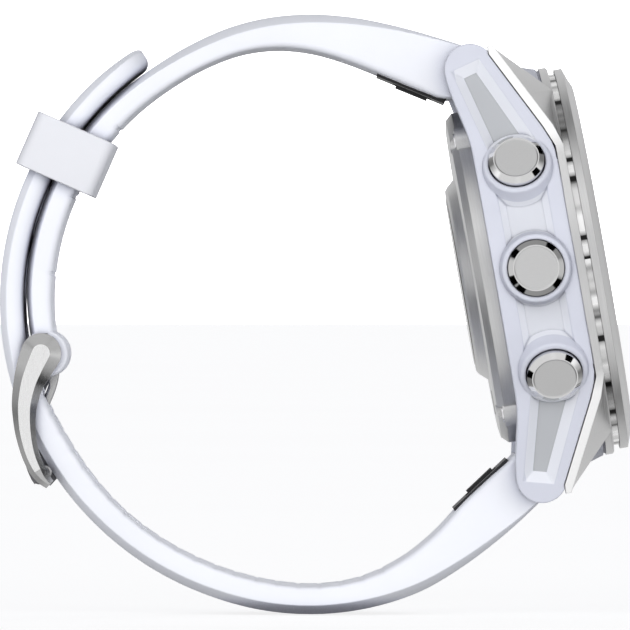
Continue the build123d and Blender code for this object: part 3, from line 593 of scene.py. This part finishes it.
def band_ring(bm, inner, outer, half, across, down, inner_round):
    """One cross-section of the band, from its inner to its outer point in the side view (mm)."""
    inner, outer = Vector(inner), Vector(outer)
    rise = outer - inner
    thick = rise.length
    small = min(EDGE_ROUND, thick * 0.08)
    down = min(down, thick * 0.36)
    inner_round = min(inner_round, thick * 0.9 - down - small)
    crown = min(CROWN, thick * 0.03)
    outline = rounded((
        (-half, 0.0, inner_round, 6), (half, 0.0, inner_round, 6),
        (half, thick - down, small, 2), (half - across, thick - crown, small, 2),
        (0.0, thick, 0.02, 1), (across - half, thick - crown, small, 2), (-half, thick - down, small, 2),
    ))
    up = rise / thick
    ring = []
    for y, t in outline:
        x, z = inner + up * t
        ring.append(bm.verts.new(watch(x, y, z)))
    return ring


def eye_rings(bm, sign, row):
    """Half-round end of a band half about its lug bar, from the far end to the band."""
    angle = math.radians(row[0])
    chord = Vector((math.cos(angle), math.sin(angle)))
    away = Vector((abs(math.sin(angle)), -sign * math.cos(angle)))
    centre = Vector((PIN_AT[0], PIN_AT[1] * sign))
    rings = []
    for turn in EYE_TURNS[sign]:
        reach = away * R_EYE * math.sin(math.radians(turn))
        spread = chord * R_EYE * math.cos(math.radians(turn))
        rings.append(band_ring(bm, centre + reach - spread, centre + reach + spread, *row[3:]))
    return rings


def band_angles(table, end, pitch, first, last):
    """(angle, groove depth) of the sections: even steps, and the flanks of grooves across the inner face."""
    start = table[0][0]
    count = round(abs(end - start) / SECTION_STEP)
    even = [start + (end - start) * i / count for i in range(count + 1)]
    grooves = [first + pitch * i for i in range(int((last - first) / pitch) + 1)]
    plain = [(a, 0.0) for a in even if all(abs(a - g) > GROOVE_CLEAR for g in grooves)]
    flanks = [(g + shift, depth) for g in grooves for shift, depth in GROOVE_FLANKS]
    return sorted(plain + flanks, reverse=end < start)


def band_rings(bm, table, sign, end, groove_depth, *grooves):
    """Sections of a band half, from its end between the lugs to an angle on the arc."""
    rings = eye_rings(bm, sign, table[0])
    for angle, groove in band_angles(table, end, *grooves):
        r_in, r_out, half, across, down, inner_round = smooth_between(table, angle)
        inner = on_arc(r_in + groove_depth * groove, angle)
        rings.append(band_ring(bm, inner, on_arc(r_out, angle), half, across, down, inner_round))
    return rings


def tail_rings(bm):
    """Sections of the free end's tip: rounded in plan with TAIL_CORNER, and its end rounded over."""
    rings = []
    plan_steps = 12
    for k in range(1, plan_steps + 1):
        turn = math.radians(90 * k / plan_steps)
        reach = TAIL_CORNER * math.sin(turn)
        left = TAIL_CORNER - reach
        angle = TAIL_TIP + math.degrees(left / R_TAIL)
        r_in, r_out, half, across, down, inner_round = smooth_between(LOWER_BAND, angle)
        half -= TAIL_CORNER * (1 - math.cos(turn))
        edge = max(0.0, TAIL_EDGE - left)
        pinch = TAIL_EDGE - math.sqrt(max(0.0, TAIL_EDGE ** 2 - edge ** 2))
        inner = on_arc(r_in + pinch, angle)
        outer = on_arc(r_out - pinch * 0.45, angle)
        rings.append(band_ring(bm, inner, outer, half, across, down, inner_round))
    return rings


def cutter_object(name, bm):
    """Object that is only there for cut() to subtract."""
    mesh = bpy.data.meshes.new(name)
    bmesh.ops.recalc_face_normals(bm, faces=bm.faces)
    bm.to_mesh(mesh)
    bm.free()
    obj = bpy.data.objects.new(name, mesh)
    bpy.context.scene.collection.objects.link(obj)
    return obj


def add_prism(bm, place, outline, depth):
    """Closed prism of an outline (u, v) in mm, on a placement matrix in watch mm."""
    rings = []
    for w in (-depth, depth):
        ring = []
        for u, v in outline:
            x, y, z = place @ Vector((u, v, w))
            ring.append(bm.verts.new(watch(x, y, z)))
        rings.append(ring)
    stitch(bm, rings)


def cut(obj, cutter):
    """Subtracts cutter from obj for good, and throws the cutter away."""
    change = obj.modifiers.new("cut", "BOOLEAN")
    change.operation = "DIFFERENCE"
    change.solver = "EXACT"
    change.object = cutter
    view = bpy.context.evaluated_depsgraph_get()
    result = bpy.data.meshes.new_from_object(obj.evaluated_get(view))
    obj.modifiers.remove(change)
    bm = bmesh.new()
    bm.from_mesh(result)
    for edge in bm.edges:
        edge.smooth = not (len(edge.link_faces) == 2 and edge.calc_face_angle(0) > math.radians(SHARP))
    for face in bm.faces:
        face.smooth = True
    bm.to_mesh(obj.data)
    bm.free()
    bpy.data.objects.remove(cutter)


def slot_places():
    """Slots of the free end: four on the arc above the buckle, and three at and below the tongue."""
    pitch = math.degrees(HOLE_PITCH / R_TAIL)
    return [180.0 - i * pitch for i in range(4)] + [TONGUE_ANGLE + i * pitch for i in range(3)]


def slot_cutter():
    """Round-ended slots through the free end."""
    bm = bmesh.new()
    outline = []
    steps = 24
    for k in range(steps):
        a = math.tau * k / steps
        centre = (HOLE_L - HOLE_W) / 2 * (1 if math.cos(a) > 0 else -1)
        outline.append((centre + HOLE_W / 2 * math.cos(a), HOLE_W / 2 * math.sin(a)))
    for angle in slot_places():
        x, z = on_arc(R_TAIL, angle)
        turn = Matrix.Rotation(-math.radians(angle - 90), 4, "Y")
        add_prism(bm, Matrix.Translation((x, 0, z)) @ turn, outline, HOLE_DEPTH)
    return cutter_object("slots", bm)


# ends (x, z) of the black latch plate's middle line in each band half, and its seat's play and half sizes
LATCH_ENDS = {1: ((22.9, 19.15), (16.3, 23.3)), -1: ((22.9, -19.6), (16.3, -23.95))}
LATCH_PLAY, LATCH_HALF, LATCH_DEPTH = 0.05, 6.0, 0.75


def latch_cutter(sign):
    """Seat of the latch plate in the band's inner face."""
    bm = bmesh.new()
    (x0, z0), (x1, z1) = LATCH_ENDS[sign]
    length = math.dist(*LATCH_ENDS[1]) / 2 + LATCH_PLAY
    half = LATCH_HALF + LATCH_PLAY
    slant = math.atan2(z1 - z0, x0 - x1)
    place = Matrix.Translation(((x0 + x1) / 2, 0, (z0 + z1) / 2)) @ Matrix.Rotation(slant, 4, "Y")
    outline = [(-length, -half), (length, -half), (length, half), (-length, half)]
    add_prism(bm, place, outline, LATCH_DEPTH)
    return cutter_object("latch_seat", bm)


def add_upper_band():
    """Short half of the band, from the 12 o'clock lugs to the buckle."""
    bm = bmesh.new()
    stitch(bm, band_rings(bm, UPPER_BAND, 1, UPPER_END, *UPPER_GROOVES))
    look = MATERIALS["silicone"]
    band = finish_piece("upper_band_moulding", bm, look, "watch", ("upper_strap",))
    cut(band, latch_cutter(1))


BOSS_R, BOSS_BORE, BOSS_ROUND = 2.5, 0.8, 0.45
BOSS_GAP = 1.75  # half width of the gap for the tongue
BOSS_LIMIT = 29.25  # the boss stays within this distance of the arc's centre, clear of the tail


def add_band_boss():
    """Thickened end of the short half, wrapped round the buckle pin with a gap for the tongue."""
    bm = bmesh.new()
    steps = 48
    for y0, y1 in ((-BAND_HALF, -BOSS_GAP), (BOSS_GAP, BAND_HALF)):
        profile = rounded(((0.0, y0, 0.01, 1), (BOSS_R, y0, BOSS_ROUND, 4), (BOSS_R, y1, BOSS_ROUND, 4),
                           (0.0, y1, 0.01, 1)))
        rings = []
        for k in range(steps):
            a = math.tau * k / steps
            ring = []
            for radius, y in profile:
                reach = radius + BOSS_BORE * (1 - radius / BOSS_R)
                x = BUCKLE_PIN[0] + reach * math.cos(a)
                z = BUCKLE_PIN[1] + reach * math.sin(a)
                past = math.hypot(x - ARC_AT[0], z - ARC_AT[1]) / BOSS_LIMIT
                if past > 1:
                    x = ARC_AT[0] + (x - ARC_AT[0]) / past
                    z = ARC_AT[1] + (z - ARC_AT[1]) / past
                ring.append(bm.verts.new(watch(x, y, z)))
            rings.append(ring)
        stitch(bm, rings, closed_path=True)
    finish_piece("band_pin_boss", bm, MATERIALS["silicone"], "watch")


def add_lower_band():
    """Long half of the band, from the 6 o'clock lugs through the buckle to the tail."""
    bm = bmesh.new()
    tail_start = TAIL_TIP + math.degrees(TAIL_CORNER / R_TAIL)
    rings = band_rings(bm, LOWER_BAND, -1, tail_start, *LOWER_GROOVES)
    stitch(bm, rings + tail_rings(bm))
    look = MATERIALS["silicone"]
    band = finish_piece("lower_band_moulding", bm, look, "watch", ("lower_strap",))
    cut(band, slot_cutter())
    cut(band, latch_cutter(-1))


# ---------------------------------------------------------------- keeper
KEEPER_AT, KEEPER_DIRECTION = (-17.86, 20.65), 56.3  # its centre (x, z), and its way along the band, degrees
KEEPER_LENGTH, KEEPER_DEPTH = 6.1, 9.0  # along the band, and through its two layers
KEEPER_WALL, KEEPER_SIDE, KEEPER_HALF = 1.04, 1.35, 9.15  # walls, side walls, half width of the opening
KEEPER_SHIFT = 0.22  # the opening sits this far outwards of the middle
KEEPER_ROUND, KEEPER_INNER_ROUND, KEEPER_CORNER_STEPS = 1.2, 0.3, 8


def keeper_outline(low, high, half, radius):
    """Rectangle with rounded corners, from low to high by twice half."""
    corners = ((low, -half), (high, -half), (high, half), (low, half))
    return rounded([(u, v, radius, KEEPER_CORNER_STEPS) for u, v in corners])


def add_keeper():
    """Loop of soft-edged section round both layers of the band."""
    half = KEEPER_HALF + KEEPER_SIDE
    deep = KEEPER_DEPTH / 2
    outer = keeper_outline(-deep, deep, half, KEEPER_ROUND)
    low, high = KEEPER_WALL - deep + KEEPER_SHIFT, deep - KEEPER_WALL + KEEPER_SHIFT
    inner = keeper_outline(low, high, KEEPER_HALF, KEEPER_INNER_ROUND)
    section = rounded(((0.0, -KEEPER_LENGTH / 2, 0.15, 3), (1.0, -KEEPER_LENGTH / 2, 0.16, 4),
                       (1.0, KEEPER_LENGTH / 2, 0.16, 4), (0.0, KEEPER_LENGTH / 2, 0.15, 3)))
    place = Matrix.Translation((KEEPER_AT[0], 0, KEEPER_AT[1]))
    place = place @ Matrix.Rotation(math.radians(90 - KEEPER_DIRECTION), 4, "Y")
    bm = bmesh.new()
    rings = []
    for near, far in zip(inner, outer):
        ring = []
        for t, w in section:
            u, v = near.lerp(far, t)
            x, y, z = place @ Vector((u, v, w))
            ring.append(bm.verts.new(watch(x, y, z)))
        rings.append(ring)
    stitch(bm, rings, closed_path=True)
    finish_piece("keeper_loop_moulding", bm, KEEPER_LOOK, "keeper_loop", ("keeper",))


# ---------------------------------------------------------------- buckle
ARM_IN, ARM_OUT = 9.15, 10.9  # y of an arm's inner and outer face
ARM_BEVEL = 0.78  # depth of the bevels from its outer face
SKIN = 0.01  # faces this near to a plane count as lying in it
FACE_END = -11.9  # z where an arm's face, painted bright as a highlight, gives way to its tip in the plainer, darker buckle steel
# centreline of an arm: x, z, half width of the arm, half width of its flat face
ARM_LINE = (
    (-24.11, 0.22, 2.15, 0.95), (-25.18, -1.34, 1.92, 0.85), (-26.01, -2.78, 1.60, 0.76),
    (-26.73, -4.63, 1.38, 0.66), (-27.05, -6.2, 1.22, 0.61), (-27.2, -7.8, 1.10, 0.56),
    (-27.16, -9.5, 0.98, 0.48), (-26.97, -10.8, 0.92, 0.42), (-26.62, -12.0, 0.86, 0.34),
    (-26.2, -12.9, 0.74, 0.2), (-25.62, -13.7, 0.54, 0.1),
)


def arm_points():
    """Centreline points with their directions, densely read from ARM_LINE."""
    table = [(float(i), *row) for i, row in enumerate(ARM_LINE)]
    last = len(ARM_LINE) - 1
    steps = 40
    values = [smooth_between(table, last * k / steps) for k in range(steps + 1)]
    rows = []
    for k, (x, z, half, face) in enumerate(values):
        ahead, behind = values[min(k + 1, steps)], values[max(k - 1, 0)]
        along = Vector((ahead[0] - behind[0], ahead[1] - behind[1])).normalized()
        rows.append((Vector((x, z)), along, half, face))
    return rows


def arm_ring(bm, side, centre, across, half, face):
    """Trapezoid section of an arm: flat back, wide bevels, flat face; half widths are signed by side."""
    ring = []
    for reach, y in ((-half, ARM_IN), (-half, ARM_OUT - ARM_BEVEL), (-face, ARM_OUT), (face, ARM_OUT),
                     (half, ARM_OUT - ARM_BEVEL), (half, ARM_IN)):
        x, z = centre + across * reach
        ring.append(bm.verts.new(watch(x, y * side, z)))
    return ring


def add_arm(bm, side):
    """One arm on side -1 or 1: a swept bar with a half-round end over the pin."""
    rows = arm_points()
    rings = []
    for centre, along, half, face in rows:
        rings.append(arm_ring(bm, side, centre, Vector((-along.y, along.x)), half, face))
    stitch(bm, rings, first_cap=False)
    centre, along, half, face = rows[0]
    across = Vector((-along.y, along.x))
    fans = []
    steps = 24
    for k in range(steps + 1):
        a = math.pi * k / steps
        way = across * math.cos(a) - along * math.sin(a)
        fan = []
        for reach, y in ((half, ARM_IN), (half, ARM_OUT - ARM_BEVEL), (face, ARM_OUT)):
            x, z = centre + way * reach
            fan.append(bm.verts.new(watch(x, y * side, z)))
        fans.append(fan)
    for near, far in zip(fans, fans[1:]):
        for k in range(2):
            bm.faces.new((near[k], near[k + 1], far[k + 1], far[k]))
    bm.faces.new([fan[2] for fan in fans])
    bm.faces.new([fan[0] for fan in reversed(fans)])


BAR_AT, BAR_HALF, BAR_R = (-26.55, -12.55), 9.4, 0.85  # crossbar: (x, z), half length, radius
BAR_SWELL = 0.12  # growth of its radius towards the arms
REST_HALF, REST_X = 1.5, -26.35  # flat where the tongue's tip rests: half length and x


def add_buckle():
    """Two forged arms, their outer faces lightened as a painted highlight and their inner faces darkened as
    painted shade, and the bar that joins them, darkened as painted shade too.
    """
    bm = bmesh.new()
    for side in (-1, 1):
        add_arm(bm, side)
    arms = finish_piece("buckle_arms_forged", bm, BUCKLE_STEEL, "buckle", ("buckle_frame",),
                        sharp=20)
    arms.data.materials.append(BUCKLE_FACE)
    arms.data.materials.append(SHADE_STEEL)
    # outer faces get the painted highlight, inner faces the painted shade
    for face in arms.data.polygons:
        reach = abs(face.center.y)
        height = face.center.z * math.cos(LEAN) - face.center.x * math.sin(LEAN)
        if reach > (ARM_OUT - SKIN) * MM and height > FACE_END * MM:
            face.material_index = 1
        elif reach < (ARM_IN + SKIN) * MM:
            face.material_index = 2
    add_crossbar()


def add_crossbar():
    bm = bmesh.new()
    rings = []
    lengths, sides = 40, 20
    for i in range(lengths + 1):
        y = BAR_HALF * (2 * i / lengths - 1)
        radius = BAR_R + BAR_SWELL * (abs(y) / BAR_HALF) ** 4
        ring = []
        for k in range(sides):
            a = math.tau * k / sides
            x = BAR_AT[0] + radius * math.cos(a)
            if abs(y) < REST_HALF:
                x = max(x, REST_X)
            ring.append(bm.verts.new(watch(x, y, BAR_AT[1] + radius * math.sin(a))))
        rings.append(ring)
    stitch(bm, rings)
    # the crossbar is painted dark as shade
    finish_piece("buckle_crossbar", bm, SHADE_STEEL, "buckle")


# ---------------------------------------------------------------- dial under the lens
DIAL_X = 34.07  # just over the display glass
DIAL_LIFT = 0.03  # thickness of a printed mark
TEXT_UP = 0.02  # middle of the lettering over DIAL_X
TICK_OUT, TICK_IN, HOUR_TICK_IN = 14.7, 13.9, 12.9  # radii of the minute marks
ARC_IN, ARC_OUT = 11.7, 12.2  # radii of the progress arc's bars
INK = moulded("dial_ink_look", (0.80, 0.83, 0.84), rough=0.5, shade=0.9)
ACCENT = moulded("dial_accent_look", (0.10, 0.45, 0.62), rough=0.5, shade=0.85)
# places what is drawn as (right, up, out) on the dial
DIAL_TURN = WATCH @ Matrix(((0, 0, 1, 0), (1, 0, 0, 0), (0, 1, 0, 0), (0, 0, 0, 1)))


def dial_bar(bm, radius_in, radius_out, width, degrees):
    """Flat mark that points at the dial's centre; degrees run clockwise from 12."""
    a = math.radians(90 - degrees)
    out = Vector((math.cos(a), math.sin(a)))
    across = Vector((-out.y, out.x)) * width / 2
    corners = (out * radius_in - across, out * radius_in + across, out * radius_out + across,
               out * radius_out - across)
    layers = []
    for lift in (0.0, DIAL_LIFT):
        layers.append([bm.verts.new(DIAL_TURN @ Vector((y, z, DIAL_X + lift))) for y, z in corners])
    stitch(bm, layers)


def add_dial():
    """Minute marks, a progress arc and four generic lines of figures."""
    bm = bmesh.new()
    for minute in range(60):
        hour = minute % 5 == 0
        dial_bar(bm, HOUR_TICK_IN if hour else TICK_IN, TICK_OUT, 0.42 if hour else 0.2, minute * 6)
    finish_piece("dial_minute_marks", bm, INK, "watch")
    bm = bmesh.new()
    for step in range(46):
        dial_bar(bm, ARC_IN, ARC_OUT, 0.62, -135 + step * 4)
    finish_piece("dial_progress_arc", bm, ACCENT, "watch")
    # text, size, height over the dial's centre, ink, name
    lines = (
        ("10:08", 7.6, 0.4, INK, "time"),
        ("THU 19", 2.2, 5.9, INK, "date"),
        ("5:24 /km", 2.3, -5.4, INK, "pace"),
        ("12.6", 2.9, -8.7, ACCENT, "distance"),
    )
    for text, size, height, ink, label in lines:
        add_dial_text("dial_" + label, text, size, height, ink)


def add_dial_text(name, text, size, height, ink):
    """Thin raised lettering in the built-in font, centred on the dial."""
    curve = bpy.data.curves.new(name, "FONT")
    curve.body = text
    curve.size = size
    curve.align_x = "CENTER"
    curve.align_y = "CENTER"
    curve.extrude = DIAL_LIFT / 2
    curve.resolution_u = 4
    letters = bpy.data.objects.new(name + "_outline", curve)
    bpy.context.scene.collection.objects.link(letters)
    view = bpy.context.evaluated_depsgraph_get()
    mesh = bpy.data.meshes.new_from_object(letters.evaluated_get(view))
    bpy.data.objects.remove(letters)
    bm = bmesh.new()
    bm.from_mesh(mesh)
    place = DIAL_TURN @ Matrix.Translation((0, height, DIAL_X + TEXT_UP))
    bmesh.ops.transform(bm, matrix=place, verts=bm.verts)
    finish_piece(name, bm, ink, "watch")


# ---------------------------------------------------------------- stage, light and camera
def add_area(name, place, look_at, size, power):
    light = bpy.data.lights.new(name, "AREA")
    light.energy = power
    light.size = size
    lamp = bpy.data.objects.new(name, light)
    bpy.context.scene.collection.objects.link(lamp)
    lamp.location = place
    direction = Vector(look_at) - Vector(place)
    lamp.rotation_euler = direction.to_track_quat("-Z", "Y").to_euler()


FLOOR_R = 40.0  # m, far beyond the view


def add_floor(height):
    """Wide pale floor with a glow of its own, so that it meets the white background softly."""
    n = Nodes("floor_look")
    haze = n.noise(3.0, 3.0)
    n.set(Base_Color=n.ramp(haze, (0.3, 0.28), (0.7, 0.30)), Roughness=0.8, Specular_IOR_Level=0.0)
    n.set(Emission_Color=(1, 1, 1, 1), Emission_Strength=0.82)
    bm = bmesh.new()
    bmesh.ops.create_circle(bm, cap_ends=True, segments=64, radius=FLOOR_R)
    mesh = bpy.data.meshes.new("floor")
    bm.to_mesh(mesh)
    bm.free()
    mesh.materials.append(n.mat)
    floor = bpy.data.objects.new("floor", mesh)
    floor.location = (0, 0, height)
    floor.visible_diffuse = False
    floor.visible_glossy = False
    bpy.context.scene.collection.objects.link(floor)


class WorldNodes(Nodes):
    """Directional studio: value sockets made from the direction of a ray."""

    def __init__(self, world):
        self.tree = world.node_tree
        coords = self.tree.nodes.new("ShaderNodeTexCoord")
        self.direction = coords.outputs["Generated"]

    def lobe(self, towards, start, full):
        """0 to 1 as a ray comes within an angle of a direction; start and full are angles in degrees."""
        dot = self.tree.nodes.new("ShaderNodeVectorMath")
        dot.operation = "DOT_PRODUCT"
        self.tree.links.new(self.direction, dot.inputs[0])
        dot.inputs[1].default_value = Vector(towards).normalized()
        step = self.tree.nodes.new("ShaderNodeMapRange")
        step.interpolation_type = "SMOOTHSTEP"
        self.tree.links.new(dot.outputs["Value"], step.inputs["Value"])
        step.inputs["From Min"].default_value = math.cos(math.radians(start))
        step.inputs["From Max"].default_value = math.cos(math.radians(full))
        return step.outputs["Result"]

    def boxes(self, base, table):
        """Base level plus a table of light boxes (direction, start, full, strength)."""
        total = base
        for towards, start, full, strength in table:
            total = self.math("ADD", total, self.math("MULTIPLY", self.lobe(towards, start, full), strength))
        return total


BEVEL_TILT = math.radians(40)  # of the buttons' polished bevels against their faces
# black flags mirrored in the bevels: button's tilt towards 12 o'clock, then azimuths, degrees
BUTTON_FLAGS = {0.0: (45, 135, 225, 315), 31.0: (48, -15, 215), -31.0: (55, -48, 200)}
FLAG_START, FLAG_FULL = 12, 9

# light boxes: direction, angle where they start, angle where they are full, strength
FRONT_BOX = ((0, -1, 0.08), 45, 12)
SOFT_BASE = 0.05
SOFT_BOXES = (
    (*FRONT_BOX, 2.8),
    ((0.15, 1, 0.15), 45, 12, 2.6),
    ((0, -0.2, 1), 130, 40, 0.06),
    ((-1, -0.5, 0.1), 50, 15, 1.0),
    ((1, -0.5, 0.1), 50, 15, 1.0),
)
GLOSS_BASE = 0.22
GLOSS_BOXES = (
    ((0, -1, 0), 86, 64, 0.64),
    ((0, 1, 0), 82, 50, 0.57),
    ((0, -0.83, -0.55), 20, 12, 0.10),
    ((0, -0.83, 0.55), 20, 12, 0.10),
    ((-1, -0.2, 0), 24, 14, 0.35),
    ((1, -0.2, 0), 24, 14, 0.35),
)
SIDE_TINT = (0.89, 0.91, 1.0, 1)  # colour of the matte light that doesn't come from the front


def seen_in_button(tilt, azimuth):
    """Direction mirrored towards the front by a button's bevel, at an azimuth about the button's axis."""
    axis = watch(0, -math.cos(math.radians(tilt)), math.sin(math.radians(tilt))).normalized()
    right = watch(1, 0, 0).normalized()
    a = math.radians(azimuth)
    radial = right * math.cos(a) - axis.cross(right) * math.sin(a)
    normal = (axis * math.cos(BEVEL_TILT) + radial * math.sin(BEVEL_TILT)).normalized()
    towards = Vector((0, -1, 0))
    return 2 * normal.dot(towards) * normal - towards


def add_world():
    """White to the camera. Matte surfaces see boxes in front, behind and at each side, and little from below;
    glossy ones see a bright front and back, dim sides and small black flags."""
    world = bpy.data.worlds.new("studio")
    bpy.context.scene.world = world
    world.use_nodes = True
    w = WorldNodes(world)
    soft = w.boxes(SOFT_BASE, SOFT_BOXES)
    gloss = w.boxes(GLOSS_BASE, GLOSS_BOXES)
    for tilt, azimuths in BUTTON_FLAGS.items():
        for azimuth in azimuths:
            flag = w.lobe(seen_in_button(tilt, azimuth), FLAG_START, FLAG_FULL)
            gloss = w.math("MULTIPLY", gloss, w.math("SUBTRACT", 1.0, flag))
    path = w.tree.nodes.new("ShaderNodeLightPath")
    to_camera = path.outputs["Is Camera Ray"]
    shiny = path.outputs["Is Glossy Ray"]
    matte = w.math("SUBTRACT", 1.0, shiny)
    light = w.math("ADD", w.math("MULTIPLY", gloss, shiny), w.math("MULTIPLY", soft, matte))
    background = w.tree.nodes["Background"]
    w.tree.links.new(w.math("MAXIMUM", light, to_camera), background.inputs["Strength"])
    untinted = w.math("MAXIMUM", w.lobe(*FRONT_BOX), w.math("MAXIMUM", shiny, to_camera))
    tint = w.tree.nodes.new("ShaderNodeMix")
    tint.data_type = "RGBA"
    w.tree.links.new(untinted, tint.inputs[0])
    tint.inputs[6].default_value = SIDE_TINT
    tint.inputs[7].default_value = (1.0, 1.0, 1.0, 1)
    w.tree.links.new(tint.outputs[2], background.inputs["Color"])


SENSOR, FOCAL = 36.0, 693.0  # mm
EYE = (0.00536, -1.3, 0.0001)  # m, on the 9 o'clock side


def add_camera():
    """Long lens that looks straight along the wrist axis."""
    camera = bpy.data.cameras.new("camera")
    camera.sensor_width = SENSOR
    camera.lens = FOCAL
    camera.clip_start = 0.05
    camera.clip_end = 50.0
    eye = bpy.data.objects.new("camera", camera)
    eye.location = EYE
    eye.rotation_euler = (math.radians(90), 0, 0)
    bpy.context.scene.collection.objects.link(eye)
    bpy.context.scene.camera = eye


def add_stage():
    add_floor(CAD_BOX[0][2])
    add_world()
    add_area("key", (-0.35, -0.8, 0.5), (0, 0, 0), 0.3, 0.5)
    bpy.context.scene.view_settings.view_transform = "Standard"


BUTTON_X = 29.1  # height of the button axes over the wrist axis, mm
BUTTON_FACE_R = 2.33  # where a button's flat face meets its bevel
# angle towards 12 o'clock of each button's axis, and its side of the case
BUTTONS = {"up": (0.0, -1), "light": (31.0, -1), "down": (-31.0, -1), "start": (31.0, 1), "lap": (-31.0, 1)}


def dress_singles():
    """Nodes with a finish of their own within their slot."""
    dress("groove_ring", groove_look("groove_look"))
    dress("bezel_frame", shield_steel("shield_look", STEEL))
    dress("buckle_tongue", BUCKLE_STEEL)


def dress_buttons():
    """Gives each button a look centred on its own axis."""
    centre = watch(BUTTON_X, 0, 0)
    for name, (angle, side) in BUTTONS.items():
        a = math.radians(angle)
        axis = watch(0, math.cos(a) * side, math.sin(a)).normalized()
        dress(name + "_button", button_steel(name + "_button_look", STEEL, centre, axis, BUTTON_FACE_R * MM))


dress_frame()
dress_buttons()
dress_singles()
add_upper_band()
add_band_boss()
add_lower_band()
add_keeper()
add_buckle()
add_dial()
add_camera()
add_stage()
